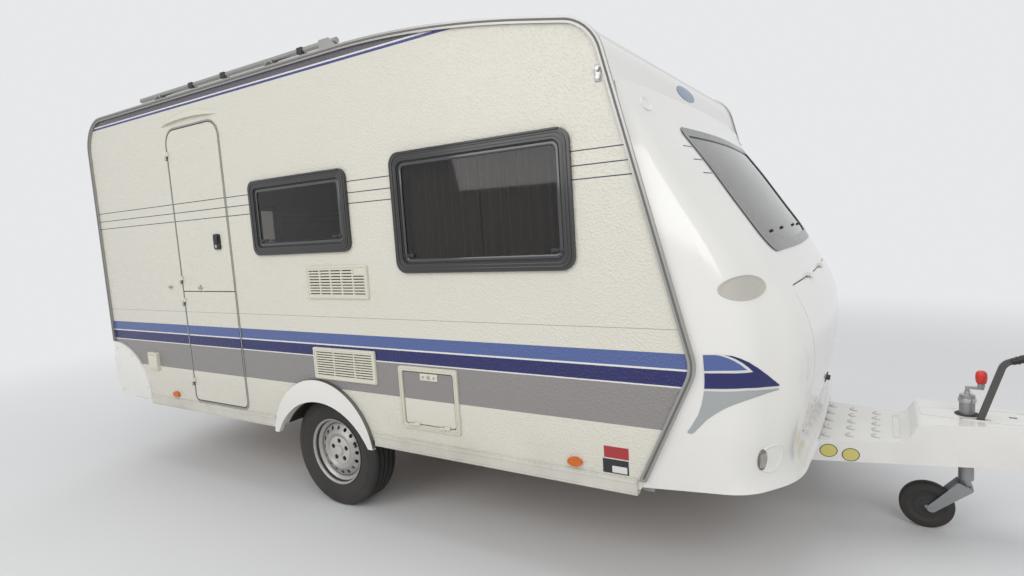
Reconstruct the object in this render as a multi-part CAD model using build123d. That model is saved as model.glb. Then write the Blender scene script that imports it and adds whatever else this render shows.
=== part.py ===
from build123d import *
import math
import os

# A single-axle touring caravan, in millimetres. Stations run forward from the outer face of the
# rear wall, sides run left from the centre line, and heights run up from the ground.
# The frame's origin is on the ground below the middle of the overall length.

os.makedirs("parts", exist_ok=True)

# Overall
rear_reach = 40.0
coupling_tip = 5930.0
frame_station = (coupling_tip - rear_reach) / 2

# Body shell
half_width = 1125.0
wall = 30.0
inner_half = half_width - wall
wall_top = 2505.0
sill_height = 470.0
rear_corner_radius = 220.0
rear_taper_height = 800.0
rear_taper_length = 200.0
front_foot = 4137.0
front_kink = (4374.0, 980.0)
front_kink_radius = 150.0
front_brow = (4028.0, 2329.0)
front_brow_radius = 200.0
roof_bend = 3186.0
roof_bend_radius = 5600.0
roof_seam_height = 2270.0
floor_top = 532.0
floor_thick = 38.0
floor_bottom = floor_top - floor_thick
floor_rear = 250.0
floor_front = 4115.0

# Running gear
axle_station = 2262.0
tyre_radius = 322.0
tyre_width = 186.0
tyre_face_inset = 60.0
rim_radius = 195.0
wheel_middle = half_width - tyre_face_inset - tyre_width / 2
running_gap = 0.3
move_gap = 6.0
arch_radius = 407.0
arch_height = 365.0
arch_opening_radius = 418.0
arch_opening_height = 227.0
arch_proud = 25.0
housing_radius = 372.0
housing_skin = 6.0
housing_inner_side = 830.0

# Chassis
rail_side = 480.0
rail_depth = 94.0
rail_width = 50.0
rail_bottom = floor_bottom - rail_depth
rail_front = 4300.0
axle_tube_station = axle_station + 158.0
axle_tube_height = 358.0
axle_tube_radius = 40.0
coupling_height = 430.0
ball_station = 5868.0
ball_radius = 25.0

# Drawbar
cover_rear = 4560.0
cover_step = 5032.0
cover_crest = 5102.0
cover_front = 5560.0
cover_bottom = 380.0
platform_top = 480.0
cover_top = 567.0
cover_skin = 6.0
cover_rear_half = 356.0
cover_front_half = 98.0
jockey_station = 5290.0
jockey_tube_radius = 30.0
jockey_wheel_radius = 112.0
jockey_wheel_width = 60.0
jockey_trail = 150.0
jockey_swivel_height = 262.0
draw_tube_radius = 24.0
lever_base = 5290.0
lever_side = -72.0
lever_thick = 12.0

# Door in the right wall
door_rear = 1026.0
door_front = 1577.0
door_bottom = 535.0
door_split = 1268.0
door_top = 2302.0
door_crown = 90.0
door_foot_radius = 30.0
door_frame_width = 16.0
door_thick = 30.0
hinge_station = door_rear - 8.0
hinge_side = half_width + 15.0
hinge_radius = 6.0

# Nose
nose_skin = 22.0
nose_bottom = 480.0
nose_top = 2108.0
lid_half = 700.0
lid_bottom = 612.0
lid_top = 1243.0
lid_foot_radius = 130.0
lid_top_radius = 45.0
brow_bottom = 2090.0
front_window_half = 670.0
front_window_length = 610.0
front_window_middle = (4425.0, 1680.0)
front_window_dip = 24.0
front_window_slope = 55.0
bulkhead_station = 4115.0


def outline(*corners):
    """A closed face through corners given as x, y and radius."""
    face = Polygon(*[(x, y) for x, y, _ in corners], align=None)
    for x, y, radius in corners:
        if radius:
            face = fillet(face.vertices().sort_by_distance((x, y, 0))[0], radius)
    return face


def rounded(low, high, radius):
    """A rounded rectangle between two opposite corners."""
    size = (high[0] - low[0], high[1] - low[1])
    middle = ((high[0] + low[0]) / 2, (high[1] + low[1]) / 2)
    return Pos(*middle) * RectangleRounded(*size, radius)


def across(face, low, high):
    """A side view drawn in station and height, extruded across the body."""
    return Pos(0, high, 0) * extrude(Plane.XZ * face, high - low, dir=(0, -1, 0))


def along(face, low, high):
    """A rear view drawn in side and height, extruded along the body."""
    return Pos(low, 0, 0) * extrude(Plane.YZ * face, high - low, dir=(1, 0, 0))


def upward(face, low, high):
    """A plan drawn in station and side, extruded upwards."""
    return Pos(0, 0, low) * extrude(face, high - low, dir=(0, 0, 1))


def block(low, high):
    """A box between two opposite corners, in any order."""
    size = [abs(b - a) for a, b in zip(low, high)]
    corner = [min(a, b) for a, b in zip(low, high)]
    return Pos(*corner) * Box(*size, align=(Align.MIN, Align.MIN, Align.MIN))


def shaft(radius, low, high, station, height):
    """A cylinder across the body."""
    return across(Pos(station, height) * Circle(radius), low, high)


def pillar(radius, low, high, station, side):
    """An upright cylinder."""
    return upward(Pos(station, side) * Circle(radius), low, high)


def both_sides(piece):
    """A piece and its mirror image on the other side."""
    return [piece, mirror(piece, about=Plane.XZ)]


def save(node, *pieces):
    """Writes one node, moved to the frame's origin."""
    solids = []
    for piece in pieces:
        solids.extend(piece.solids())
    moved = [Pos(-frame_station, 0, 0) * solid for solid in solids]
    export_step(moved[0] if len(moved) == 1 else Compound(children=moved), f"parts/{node}.step")


def body_outline():
    """Side view of the body, from the rear taper round the roof to the front edge."""
    return outline(
        (rear_taper_length, sill_height, 0),
        (front_foot, sill_height, 0),
        (*front_kink, front_kink_radius),
        (*front_brow, front_brow_radius),
        (roof_bend, wall_top, roof_bend_radius),
        (0, wall_top, rear_corner_radius),
        (0, rear_taper_height, 60.0),
    )


body_side = body_outline()
body_inside = offset(body_side, -wall)
body_prism = across(body_side, -half_width - 50, half_width + 50)

# Side windows: side, rear, front, bottom, top, corner radius
window_table = [
    ("right", 2938.0, 3906.0, 1364.0, 1944.0, 60.0),
    ("right", 1829.0, 2628.0, 1482.0, 1912.0, 50.0),
    ("left", 2938.0, 3906.0, 1364.0, 1944.0, 60.0),
    ("left", 560.0, 1360.0, 1482.0, 1912.0, 50.0),
]
window_rim = 44.0
window_lap = 20.0
window_proud = 16.0
pane_thick = 6.0

# Refrigerator vents on the right wall: rear, front, bottom, top, slots
vent_table = [
    (2254.0, 2724.0, 1232.0, 1411.0, 9),
    (2250.0, 2724.0, 781.0, 959.0, 10),
]
vent_lap = 18.0
vent_proud = 9.0
slot_height = 6.0

# Service flap on the right wall
flap_rear = 2880.0
flap_front = 3250.0
flap_bottom = 576.0
flap_top = 897.0
flap_frame = 24.0
flap_thick = 24.0


def window_outline(window, inset):
    _, rear, front, bottom, top, radius = window
    return rounded((rear + inset, bottom + inset), (front - inset, top - inset), radius - inset * 0.5)


def arch_opening():
    return Pos(axle_station, arch_opening_height) * Circle(arch_opening_radius)


def door_outline(extra, low=door_bottom, high=door_top):
    """The door, grown by extra all round, with a crowned top and small feet."""
    crown = door_crown + extra if high == door_top else 4.0
    foot = door_foot_radius + extra if low == door_bottom else 4.0
    rear = door_rear - extra
    front = door_front + extra
    bottom = low - extra
    top = high + extra
    return outline((rear, bottom, foot), (front, bottom, foot), (front, top, crown), (rear, top, crown))


def flap_outline(inset):
    return rounded((flap_rear + inset, flap_bottom + inset), (flap_front - inset, flap_top - inset), 14.0)


def side_wall(side):
    """A side wall on the left, with the openings of the side that it stands for."""
    face = body_side - arch_opening()
    for window in window_table:
        if window[0] == side:
            face -= window_outline(window, window_lap)
    if side == "right":
        face -= door_outline(door_frame_width)
        face -= flap_outline(flap_frame * 0.5)
        for rear, front, bottom, top, _ in vent_table:
            face -= rounded((rear + vent_lap, bottom + vent_lap), (front - vent_lap, top - vent_lap), 8.0)
    return across(face, inner_half, half_width)


save("side_wall_left", side_wall("left"))
save("side_wall_right", mirror(side_wall("right"), about=Plane.XZ))

shell_ring = across(body_side - body_inside, -inner_half, inner_half)
rear_window = rounded((-450.0, 1482.0), (450.0, 1912.0), 50.0)
rear_window_hole = rounded((-450.0 + window_lap, 1482.0 + window_lap), (450.0 - window_lap, 1912.0 - window_lap), 40.0)
rear_wall = shell_ring & block((-10, -half_width, floor_bottom), (floor_rear, half_width, roof_seam_height))
rear_wall -= along(rear_window_hole, -10, wall + 10)
save("rear_wall", rear_wall)

hatch_station = 2050.0
hatch_half = 200.0
roof_panel = shell_ring & block((-10, -half_width, roof_seam_height), (front_kink[0], half_width, wall_top + 10))
hatch_hole = block((hatch_station - hatch_half, -hatch_half, wall_top - wall - 10),
                   (hatch_station + hatch_half, hatch_half, wall_top + 10))
roof_panel -= hatch_hole
save("roof_panel", roof_panel)

housing_cut = shaft(housing_radius + 2, housing_inner_side - 2, half_width, axle_station, tyre_radius)
floor_panel = block((floor_rear, -inner_half, floor_bottom), (floor_front, inner_half, floor_top))
for piece in both_sides(housing_cut):
    floor_panel -= piece
save("floor_panel", floor_panel)


def wheel_housing():
    """Inner mudguard: a half drum closed on its inner side."""
    outer = shaft(housing_radius, housing_inner_side, inner_half, axle_station, tyre_radius)
    inner = shaft(housing_radius - housing_skin, housing_inner_side + housing_skin, inner_half + 1,
                  axle_station, tyre_radius)
    below = block((axle_station - 500, 0, -100), (axle_station + 500, half_width, sill_height))
    return outer - inner - below


save("wheel_housings", *both_sides(wheel_housing()))


def wheel_arch():
    """Crescent trim round the wheel, thick at the top and thin at its feet."""
    face = Pos(axle_station, arch_height) * Circle(arch_radius) - arch_opening()
    face -= Pos(axle_station, 0) * Rectangle(1200, 2 * (sill_height - 45))
    return across(face, half_width, half_width + arch_proud)


save("wheel_arches", *both_sides(wheel_arch()))


# Nose sections: height, tip on the centre line, then station, side and radius of the corner
# beside the window and of the outer corner
nose_table = [
    (nose_bottom, 4731.0, (4694.0, 820.0, 400.0), (4535.0, 1040.0, 220.0)),
    (590.0, 4705.0, (4662.0, 815.0, 390.0), (4515.0, 1040.0, 220.0)),
    (745.0, 4740.0, (4700.0, 815.0, 380.0), (4538.0, 1042.0, 220.0)),
    (950.0, 4768.0, (4728.0, 812.0, 380.0), (4550.0, 1043.0, 220.0)),
    (1130.0, 4742.0, (4701.0, 808.0, 380.0), (4540.0, 1042.0, 210.0)),
    (1226.0, 4700.0, (4657.0, 803.0, 390.0), (4518.0, 1040.0, 200.0)),
    (1310.0, 4655.0, (4610.0, 798.0, 400.0), (4492.0, 1040.0, 190.0)),
    (1450.0, 4580.0, (4534.0, 790.0, 400.0), (4430.0, 1040.0, 160.0)),
    (1621.0, 4466.0, (4422.0, 782.0, 420.0), (4330.0, 1045.0, 130.0)),
    (1787.0, 4354.0, (4314.0, 778.0, 500.0), (4246.0, 1050.0, 110.0)),
    (1900.0, 4270.0, (4234.0, 778.0, 700.0), (4190.0, 1055.0, 90.0)),
    (2000.0, 4198.0, (4168.0, 780.0, 900.0), (4140.0, 1062.0, 70.0)),
    (nose_top, 4128.0, (4110.0, 790.0, 900.0), (4090.0, 1070.0, 50.0)),
]
nose_back = 3600.0
nose_centre_radius = 9000.0


def wall_edge(height):
    """Station of the side wall's front edge, taken on its two straight stretches."""
    if height > front_kink[1]:
        share = (height - front_kink[1]) / (front_brow[1] - front_kink[1])
        return front_kink[0] + share * (front_brow[0] - front_kink[0])
    share = (height - sill_height) / (front_kink[1] - sill_height)
    return front_foot + share * (front_kink[0] - front_foot)


def drawn_in(corners, inset):
    """Corners of a clockwise outline moved inwards, each as far from both of its edges."""
    moved = []
    for index, (x, y, radius) in enumerate(corners):
        before = corners[index - 1]
        after = corners[(index + 1) % len(corners)]
        length_in = math.hypot(x - before[0], y - before[1])
        length_out = math.hypot(after[0] - x, after[1] - y)
        normal_in = ((y - before[1]) / length_in, (before[0] - x) / length_in)
        normal_out = ((after[1] - y) / length_out, (x - after[0]) / length_out)
        step = inset / (1 + normal_in[0] * normal_out[0] + normal_in[1] * normal_out[1])
        moved.append((x + step * (normal_in[0] + normal_out[0]), y + step * (normal_in[1] + normal_out[1]),
                      radius - inset if radius else 0))
    return moved


def nose_section(row, inset):
    height, tip, (near_x, near_y, near_radius), (outer_x, outer_y, outer_radius) = row
    knee = wall_edge(height) - 20
    left = [(nose_back, half_width, 0), (knee, half_width, 0), (outer_x, outer_y, outer_radius),
            (near_x, near_y, near_radius)]
    right = [(x, -y, radius) for x, y, radius in reversed(left)]
    corners = drawn_in([*left, (tip, 0, nose_centre_radius), *right], inset)
    return Pos(0, 0, height) * outline(*corners)


def nose_body(inset):
    """The nose as a solid whose surface lies inset inside the outer one."""
    return loft([nose_section(row, inset) for row in nose_table])


window_plane = Plane(
    origin=(front_window_middle[0], 0, front_window_middle[1]),
    x_dir=(0, 1, 0),
    z_dir=(math.sin(math.radians(front_window_slope)), 0, math.cos(math.radians(front_window_slope))),
)


def front_window_prism(extra):
    """The front window's opening: tight corners above, rounder ones and a slight dip below."""
    half = front_window_half + extra
    rise = front_window_length / 2 + extra
    face = outline((-half, -rise, 100 + extra), (0, -rise - front_window_dip, 9000), (half, -rise, 100 + extra),
                   (half, rise, 32 + extra), (-half, rise, 32 + extra))
    return extrude(window_plane * face, 300, both=True)


def lid_prism(extra):
    half = lid_half + extra
    low = lid_bottom - extra
    high = lid_top + extra
    face = outline((-half, low, lid_foot_radius + extra), (half, low, lid_foot_radius + extra),
                   (half, high, lid_top_radius + extra), (-half, high, lid_top_radius + extra))
    return along(face, 4450, 4900)


nose_outer = nose_body(0)
nose_shell = nose_outer - nose_body(nose_skin)
notch_half = cover_rear_half + 5
drawbar_notch = block((4400, -notch_half, nose_bottom - 10), (4800, notch_half, platform_top + 8))
brow = shell_ring & block((3900, -half_width, brow_bottom), (front_kink[0], half_width, roof_seam_height))
nose_moulding = nose_shell - body_prism + brow
nose_moulding = nose_moulding - front_window_prism(0) - lid_prism(move_gap) - drawbar_notch
locker_lid = (nose_outer & lid_prism(0)) - nose_body(nose_skin)
hinge_reach = 250.0


def nose_front_at(side, height):
    """Station of the nose's surface at one place on its front."""
    probe = block((4000, side - 0.5, height - 0.5), (5200, side + 0.5, height + 0.5))
    return (nose_outer & probe).bounding_box().max.X


lid_axis = (round(nose_front_at(hinge_reach, lid_top)) + 13.0, lid_top + move_gap / 2)
lid_arm_root = lid_axis[0] - 32
lid_knuckle = 60.0
for side in (-hinge_reach, hinge_reach):
    barrel = shaft(5, -lid_knuckle / 2, lid_knuckle / 2, *lid_axis)
    arm = block((lid_arm_root, -lid_knuckle / 2, 0), (lid_axis[0], lid_knuckle / 2, 16))
    shift = (lid_knuckle + running_gap) / 2
    nose_moulding += Pos(0, side - shift, 0) * (barrel + Pos(0, 0, lid_axis[1]) * arm)
    lid_arm = Pos(0, side + shift, 0) * (barrel + Pos(0, 0, lid_axis[1] - 16) * arm)
    locker_lid += lid_arm - nose_outer
save("nose_moulding", nose_moulding)
save("locker_lid", locker_lid)

frame_band = nose_body(-6) - nose_outer
front_frame = frame_band & (front_window_prism(30) - front_window_prism(-20))
front_pane = (nose_outer - nose_body(pane_thick)) & front_window_prism(0)

bulkhead_top = 1330.0
bulkhead = block((bulkhead_station, -inner_half, floor_bottom),
                 (bulkhead_station + 20, inner_half, bulkhead_top))
floor_plan = outline((bulkhead_station + 20, 980, 0), (4440, 980, 120), (4600, 700, 200), (4600, -700, 200),
                     (4440, -980, 120), (bulkhead_station + 20, -980, 0))
locker_floor = upward(floor_plan, floor_bottom, floor_bottom + 12)
save("front_bulkhead", (bulkhead & body_prism) + locker_floor)


def window_frame(window):
    outer = across(window_outline(window, 0) - window_outline(window, window_rim), half_width, half_width + window_proud)
    sleeve = across(window_outline(window, window_lap) - window_outline(window, window_rim), inner_half, half_width)
    return outer + sleeve


def window_pane(window):
    return across(window_outline(window, window_rim), half_width - 2, half_width - 2 + pane_thick)


frames = [front_frame]
panes = [front_pane]
for window in window_table:
    turn = 1 if window[0] == "left" else -1
    for piece, group in ((window_frame(window), frames), (window_pane(window), panes)):
        group.append(piece if turn == 1 else mirror(piece, about=Plane.XZ))
rear_pane_hole = rounded((-450.0 + window_rim, 1482.0 + window_rim), (450.0 - window_rim, 1912.0 - window_rim), 28.0)
frames.append(along(rear_window - rear_pane_hole, -window_proud, 0) + along(rear_window_hole - rear_pane_hole, 0, wall))
panes.append(along(rear_pane_hole, -4, 2))
save("window_frames", *frames)
save("window_panes", *panes)


def right_side(piece):
    return mirror(piece, about=Plane.XZ)


# Door: frame ring, two leaves with their own seals' gap, hinges and a handle
door_ring = across(door_outline(door_frame_width) - door_outline(move_gap), inner_half, half_width + 4)
leaf_low = half_width - door_thick + 4
hinge_heights = [2148.0, 1343.0, 1198.0, 658.0]
hinge_length = 26.0


def hinge_knuckle(height, low, reach):
    """A knuckle on the hinge line with a short arm that reaches to its plate."""
    barrel = pillar(hinge_radius, height + low, height + low + hinge_length, hinge_station, hinge_side)
    arm = block((hinge_station, half_width + 4, height + low), (reach, hinge_side, height + low + hinge_length))
    return barrel + arm


door_upper = across(door_outline(0, low=door_split + 3), leaf_low, half_width + 4)
door_lower = across(door_outline(0, high=door_split - 3), leaf_low, half_width + 4)
for height in hinge_heights:
    knuckle = hinge_knuckle(height, running_gap / 2, door_rear + 14)
    if height > door_split:
        door_upper += knuckle
    else:
        door_lower += knuckle
    door_ring += hinge_knuckle(height, -hinge_length - running_gap / 2, hinge_station - 12)
save("door_frame", right_side(door_ring))
save("door_upper", right_side(door_upper))
save("door_lower", right_side(door_lower))

handle_station = 1466.0
handle_height = 1579.0
handle = across(rounded((handle_station - 30, handle_height - 48), (handle_station + 30, handle_height + 48), 14),
                half_width + 4, half_width + 16)
save("door_handle", right_side(handle))

hood_profile = outline((983.0, 2344.0, 6), (1287.0, 2398.0, 300), (1591.0, 2344.0, 6), (1591.0, 2336.0, 0),
                       (1287.0, 2386.0, 300), (983.0, 2336.0, 0))
save("door_hood", right_side(across(hood_profile, half_width, half_width + 20)))


def vent_grille(vent):
    """A louvred cover: its slots are open through the plate."""
    rear, front, bottom, top, slots = vent
    plate = across(rounded((rear, bottom), (front, top), 10), half_width, half_width + vent_proud)
    pitch = (top - bottom - 40) / slots
    for row in range(slots):
        height = bottom + 20 + (row + 0.5) * pitch
        plate -= block((rear + 24, half_width - 1, height - slot_height / 2),
                       (front - 24, half_width + vent_proud + 1, height + slot_height / 2))
    return plate


save("vent_grilles", *[right_side(vent_grille(vent)) for vent in vent_table])

flap_ring = across(flap_outline(0) - flap_outline(flap_frame), half_width, half_width + 8)
flap_ring += across(flap_outline(flap_frame * 0.5) - flap_outline(flap_frame), inner_half, half_width)
flap = across(flap_outline(flap_frame + move_gap - 1), half_width - flap_thick, half_width + 4)
flap_axis = (half_width + 14.0, flap_bottom + flap_frame + 2.0)
flap_knuckle = 30.0
for station in (flap_rear + 90, flap_front - 90):
    barrel = Pos(0, *flap_axis) * Rot(0, 90, 0) * Cylinder(5, flap_knuckle)
    low_end = station - running_gap / 2
    high_end = station + running_gap / 2
    flap_ring += Pos(low_end - flap_knuckle / 2, 0, 0) * barrel
    flap_ring += block((low_end - flap_knuckle, half_width + 6, flap_axis[1] - 12),
                       (low_end, flap_axis[0], flap_axis[1] - 2))
    flap += Pos(high_end + flap_knuckle / 2, 0, 0) * barrel
    flap += block((high_end, half_width, flap_axis[1]), (high_end + flap_knuckle, flap_axis[0], flap_axis[1] + 12))
save("flap_frame", right_side(flap_ring))
save("service_flap", right_side(flap))


def corner_rail():
    """Rail over the joint of side wall, roof and nose, following the body's outline."""
    ring = offset(body_side, 8) - offset(body_side, -20)
    rail = across(ring, half_width, half_width + 12)
    return rail - block((-100, 0, 0), (5000, half_width + 100, sill_height + 40))


cover_length = 450.0
cover_rise = 405.0


def corner_cover():
    """Quarter-ellipse cover over the lower rear corner of the side wall."""
    ellipse = Pos(0, 480) * Ellipse(cover_length, cover_rise)
    face = ellipse & body_side & (Pos(300, 480 + 300) * Rectangle(600, 600))
    return across(face, half_width, half_width + 12)


def sill_rail():
    """Lower skirt strips on both sides of the wheel arch."""
    strips = None
    for rear, front in ((cover_length + 2, 1852.0), (2672.0, 4125.0)):
        strip = block((rear, half_width, 446), (front, half_width + 10, 514))
        strip += block((rear, inner_half, 446), (front, half_width, sill_height))
        strips = strip if strips is None else strips + strip
    return strips


rail_piece = corner_rail() - across(Pos(0, 480) * Ellipse(cover_length + 1, cover_rise + 1), half_width - 1, half_width + 50)
save("corner_rails", *both_sides(rail_piece))
save("rear_corner_covers", *both_sides(corner_cover()))
save("sill_rails", *both_sides(sill_rail()))

# Rear bumper: a hollow moulding under the rear wall, with lamps and a blank plate
bumper_skin = 6.0
bumper_profile = outline((80, 808, 0), (-8, 808, 4), (-rear_reach, 762, 20), (-rear_reach, 560, 40), (40, 470, 20),
                         (230, 470, 0), (230, 600, 0))
bumper = across(bumper_profile, -half_width, half_width)
bumper -= across(offset(bumper_profile, -bumper_skin), -half_width + bumper_skin, half_width - bumper_skin)
save("rear_bumper", bumper - body_prism)
lamp_proud = 8.0
lamps = []
for side in (-1, 1):
    for low, high in ((700.0, 800.0), (810.0, 960.0), (970.0, 1070.0)):
        middle = side * (half_width - 170)
        lamp = block((-lamp_proud - 6, middle - 55, low + 110), (0, middle + 55, high + 110))
        lamps.append(lamp)
save("rear_lamps", *lamps)


def marker(station, height):
    face = Pos(station, height) * Ellipse(34, 20)
    return across(face, half_width, half_width + 14)


markers = []
for station in (782.0, 3851.0):
    markers.extend(both_sides(marker(station, 546.0)))
save("side_markers", *markers)

inlet = across(rounded((485.0, 705.0), (605.0, 830.0), 12), half_width, half_width + 20)
save("power_inlet", right_side(inlet))

# Roof rails: a tube on two feet each side, with a long cap at its front
rail_tube_side = 980.0
rail_tube_height = 2600.0


def roof_rail():
    tube = Pos(0, rail_tube_side, rail_tube_height) * Rot(0, 90, 0) * Cylinder(16, 1980, align=(Align.CENTER, Align.CENTER, Align.MIN))
    tube = Pos(520, 0, 0) * tube
    feet = None
    for station in (760.0, 1951.0):
        foot = across(outline((station - 60, wall_top, 0), (station + 60, wall_top, 0), (station + 28, 2600, 10),
                              (station - 28, 2600, 10)), rail_tube_side - 22, rail_tube_side + 22)
        feet = foot if feet is None else feet + foot
    cap = across(outline((2380, wall_top - 0, 0), (2580, wall_top - 0, 0), (2520, 2560, 40), (2460, 2618, 14),
                         (2380, 2618, 8)), rail_tube_side - 22, rail_tube_side + 22)
    return tube + feet + cap


save("roof_rails", *both_sides(roof_rail()))

hatch_dome = block((hatch_station - hatch_half + 8, -hatch_half + 8, wall_top), (hatch_station + hatch_half - 8, hatch_half - 8, wall_top + 55))
hatch_frame = block((hatch_station - hatch_half - 30, -hatch_half - 30, wall_top), (hatch_station + hatch_half + 30, hatch_half + 30, wall_top + 20))
hatch_frame -= block((hatch_station - hatch_half + 8, -hatch_half + 8, wall_top - 1), (hatch_station + hatch_half - 8, hatch_half - 8, wall_top + 60))
save("roof_hatch_frame", hatch_frame)
save("roof_hatch_dome", fillet(hatch_dome.edges().filter_by(Axis.Z), 30) - Pos(0, 0, -6) * fillet(block((hatch_station - hatch_half + 14, -hatch_half + 14, wall_top), (hatch_station + hatch_half - 14, hatch_half - 14, wall_top + 55)).edges().filter_by(Axis.Z), 24))

# Interior seen through the glass
kitchen = block((1640, -inner_half, floor_top), (2760, -inner_half + 560, 1400))
for piece in both_sides(housing_cut):
    kitchen -= piece
for rear, front, bottom, top, _ in vent_table:
    kitchen -= block((rear + 10, -inner_half, bottom + 10), (front - 10, -inner_half + 120, top - 10))
wardrobe = block((1420, 500, floor_top), (2000, inner_half, 2300)) - housing_cut
save("cabinets", kitchen, wardrobe)


def seat_box(rear, front, aisle_side):
    """A bench of boards, open below and towards the wall."""
    outer = block((rear, aisle_side, floor_top), (front, inner_half, bench_height))
    inside = block((rear + board, aisle_side + board, floor_top - 1), (front - board, inner_half + 1, bench_height - board))
    return outer - inside


bench_height = 960.0
board = 16.0
benches = both_sides(seat_box(2800.0, 4080.0, 620.0))
benches.append(seat_box(floor_rear + 2, 960.0, -350.0))
save("seat_boxes", *benches)
curtains = []
for side in (-1, 1):
    for rear, front in ((2970.0, 3400.0), (3440.0, 3874.0)):
        curtains.append(block((rear, side * (inner_half - 16 - running_gap), 1330),
                              (front, side * (inner_half - running_gap), 1960)))
save("curtains", *curtains)

# Chassis
rails = both_sides(block((320, rail_side - rail_width, rail_bottom), (rail_front, rail_side, floor_bottom)))
cross = []
for station in (540.0, 1500.0, 3200.0, 4150.0):
    cross.append(block((station - 25, -rail_side + rail_width, floor_bottom - 60), (station + 25, rail_side - rail_width, floor_bottom)))
    for piece in both_sides(block((station - 25, rail_side, floor_bottom - 50),
                                  (station + 25, inner_half - 25, floor_bottom))):
        cross.append(piece)
save("cross_members", *cross)

beam_front = cover_front - cover_skin
beam_tip_side = draw_tube_radius + running_gap
beam_top = platform_top - cover_skin
beam_bend = (cover_rear, 345.0, 285.0)
beam_plan = outline((rail_front, rail_side, 0), (beam_bend[0], beam_bend[1], 0), (beam_front, 75, 0),
                    (beam_front, beam_tip_side, 0), (beam_bend[0], beam_bend[2], 0), (rail_front, rail_side - 60, 0))


def beam_inner(station):
    """Side of the drawbar beam's inner face."""
    share = (station - beam_bend[0]) / (beam_front - beam_bend[0])
    return beam_bend[2] + share * (beam_tip_side - beam_bend[2])


beam = upward(beam_plan, rail_bottom, beam_top)
save("chassis_rails", *both_sides(rails[0] + beam))

axle = shaft(axle_tube_radius, -800, 800, axle_tube_station, axle_tube_height)
saddle = block((axle_tube_station - 60, rail_side - rail_width, axle_tube_height + 20),
               (axle_tube_station + 60, rail_side, rail_bottom))
for piece in both_sides(saddle):
    axle += piece
arm_outer = 826.0


def swing_arm():
    """Trailing arm from the axle tube's end to the stub shaft that carries the wheel."""
    tube_end = shaft(48, 800, arm_outer, axle_tube_station, axle_tube_height)
    hub_end = shaft(44, 800, arm_outer, axle_station, tyre_radius)
    link = Polygon((axle_tube_station, axle_tube_height - 44), (axle_tube_station, axle_tube_height + 44),
                   (axle_station, tyre_radius + 38), (axle_station, tyre_radius - 38), align=None)
    stub = shaft(20, arm_outer, wheel_middle + 60, axle_station, tyre_radius)
    return tube_end + hub_end + across(link, 800, arm_outer) + stub


for piece in both_sides(swing_arm()):
    axle += piece
save("axle", axle)


def tyre():
    """Tyre section turned about the wheel's axis."""
    half = tyre_width / 2
    bead = rim_radius - 12
    section = outline((bead, -half * 0.72, 4), (tyre_radius - 55, -half, 30), (tyre_radius, -half * 0.86, 22),
                      (tyre_radius, half * 0.86, 22), (tyre_radius - 55, half, 30), (bead, half * 0.72, 4))
    turned = revolve(Plane.XY * section, axis=Axis.Y)
    return Pos(axle_station, wheel_middle, tyre_radius) * turned


hub_gap = 0.3


def rim():
    """Steel wheel with its disc, flange lip and brake drum, turned about the wheel's axis."""
    half = tyre_width / 2
    well = rim_radius - 40
    disc = Polygon((20 + hub_gap, 30), (20 + hub_gap, 62), (60, 62), (80, 44), (130, 52), (well + 3, 30),
                   (well + 3, 24), (125, 42), (80, 34), (60, 30), align=None)
    drum = Polygon((20 + hub_gap, -60), (20 + hub_gap, 30), (110, 30), (125, 10), (125, -60), align=None)
    turned = revolve(Plane.XY * disc, axis=Axis.Y) + revolve(Plane.XY * drum, axis=Axis.Y)
    turned += revolve(Plane.XY * rim_barrel(half, well), axis=Axis.Y)
    for turn in range(16):
        angle = math.radians(turn * 22.5)
        turned -= Pos(104 * math.cos(angle), 60, 104 * math.sin(angle)) * Rot(90, 0, 0) * Cylinder(11, 60)
    return Pos(axle_station, wheel_middle, tyre_radius) * turned


def rim_barrel(half, well):
    """Barrel section between the two flange lips, drawn as one band."""
    return Polygon((rim_radius - 12.5, -half * 0.72), (rim_radius, -half * 0.72 - 8), (rim_radius - 4, -half * 0.72 - 11),
                   (well, -half * 0.55), (well, half * 0.55), (rim_radius - 4, half * 0.72 + 11),
                   (rim_radius, half * 0.72 + 8), (rim_radius - 12.5, half * 0.72), (well + 6, half * 0.5),
                   (well + 6, -half * 0.5), align=None)


left_tyre = tyre()
left_rim = rim()
save("tyre_left", left_tyre)
save("tyre_right", mirror(left_tyre, about=Plane.XZ))
save("rim_left", left_rim)
save("rim_right", mirror(left_rim, about=Plane.XZ))

# Drawbar cover: platform, step and raised part as one shell, open below


def half_at(station, inset):
    share = (station - cover_rear) / (cover_front - cover_rear)
    return cover_rear_half + share * (cover_front_half - cover_rear_half) - inset


def cover_body(inset):
    profile = outline((cover_rear, cover_bottom - inset * 2, 0), (cover_front - inset, cover_bottom - inset * 2, 0),
                      (cover_front - inset, cover_top - inset - 30, 0), (cover_front - inset - 40, cover_top - inset, 20),
                      (cover_crest + inset * 0.5, cover_top - inset, 24),
                      (cover_step + 30 + inset * 0.5, platform_top + 14 - inset, 60),
                      (cover_step + inset * 0.5, platform_top - inset, 18),
                      (cover_rear, platform_top - inset, 0))
    plan = Polygon((cover_rear, half_at(cover_rear, inset)), (cover_front, half_at(cover_front, inset)),
                   (cover_front, -half_at(cover_front, inset)), (cover_rear, -half_at(cover_rear, inset)), align=None)
    return across(profile, -600, 600) & upward(plan, 300, 700)


cover = cover_body(0) - cover_body(cover_skin)
cover -= pillar(jockey_tube_radius + 10, 300, 700, jockey_station, 0)
cover -= block((cover_front - 60, -draw_tube_radius - 1, 300), (cover_front + 10, draw_tube_radius + 1, coupling_height + draw_tube_radius + 1))
cover -= block((lever_base - 30, lever_side - 4, cover_top - 60), (lever_base + 75, lever_side + lever_thick + 4, cover_top + 10))
save("drawbar_cover", cover)

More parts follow.
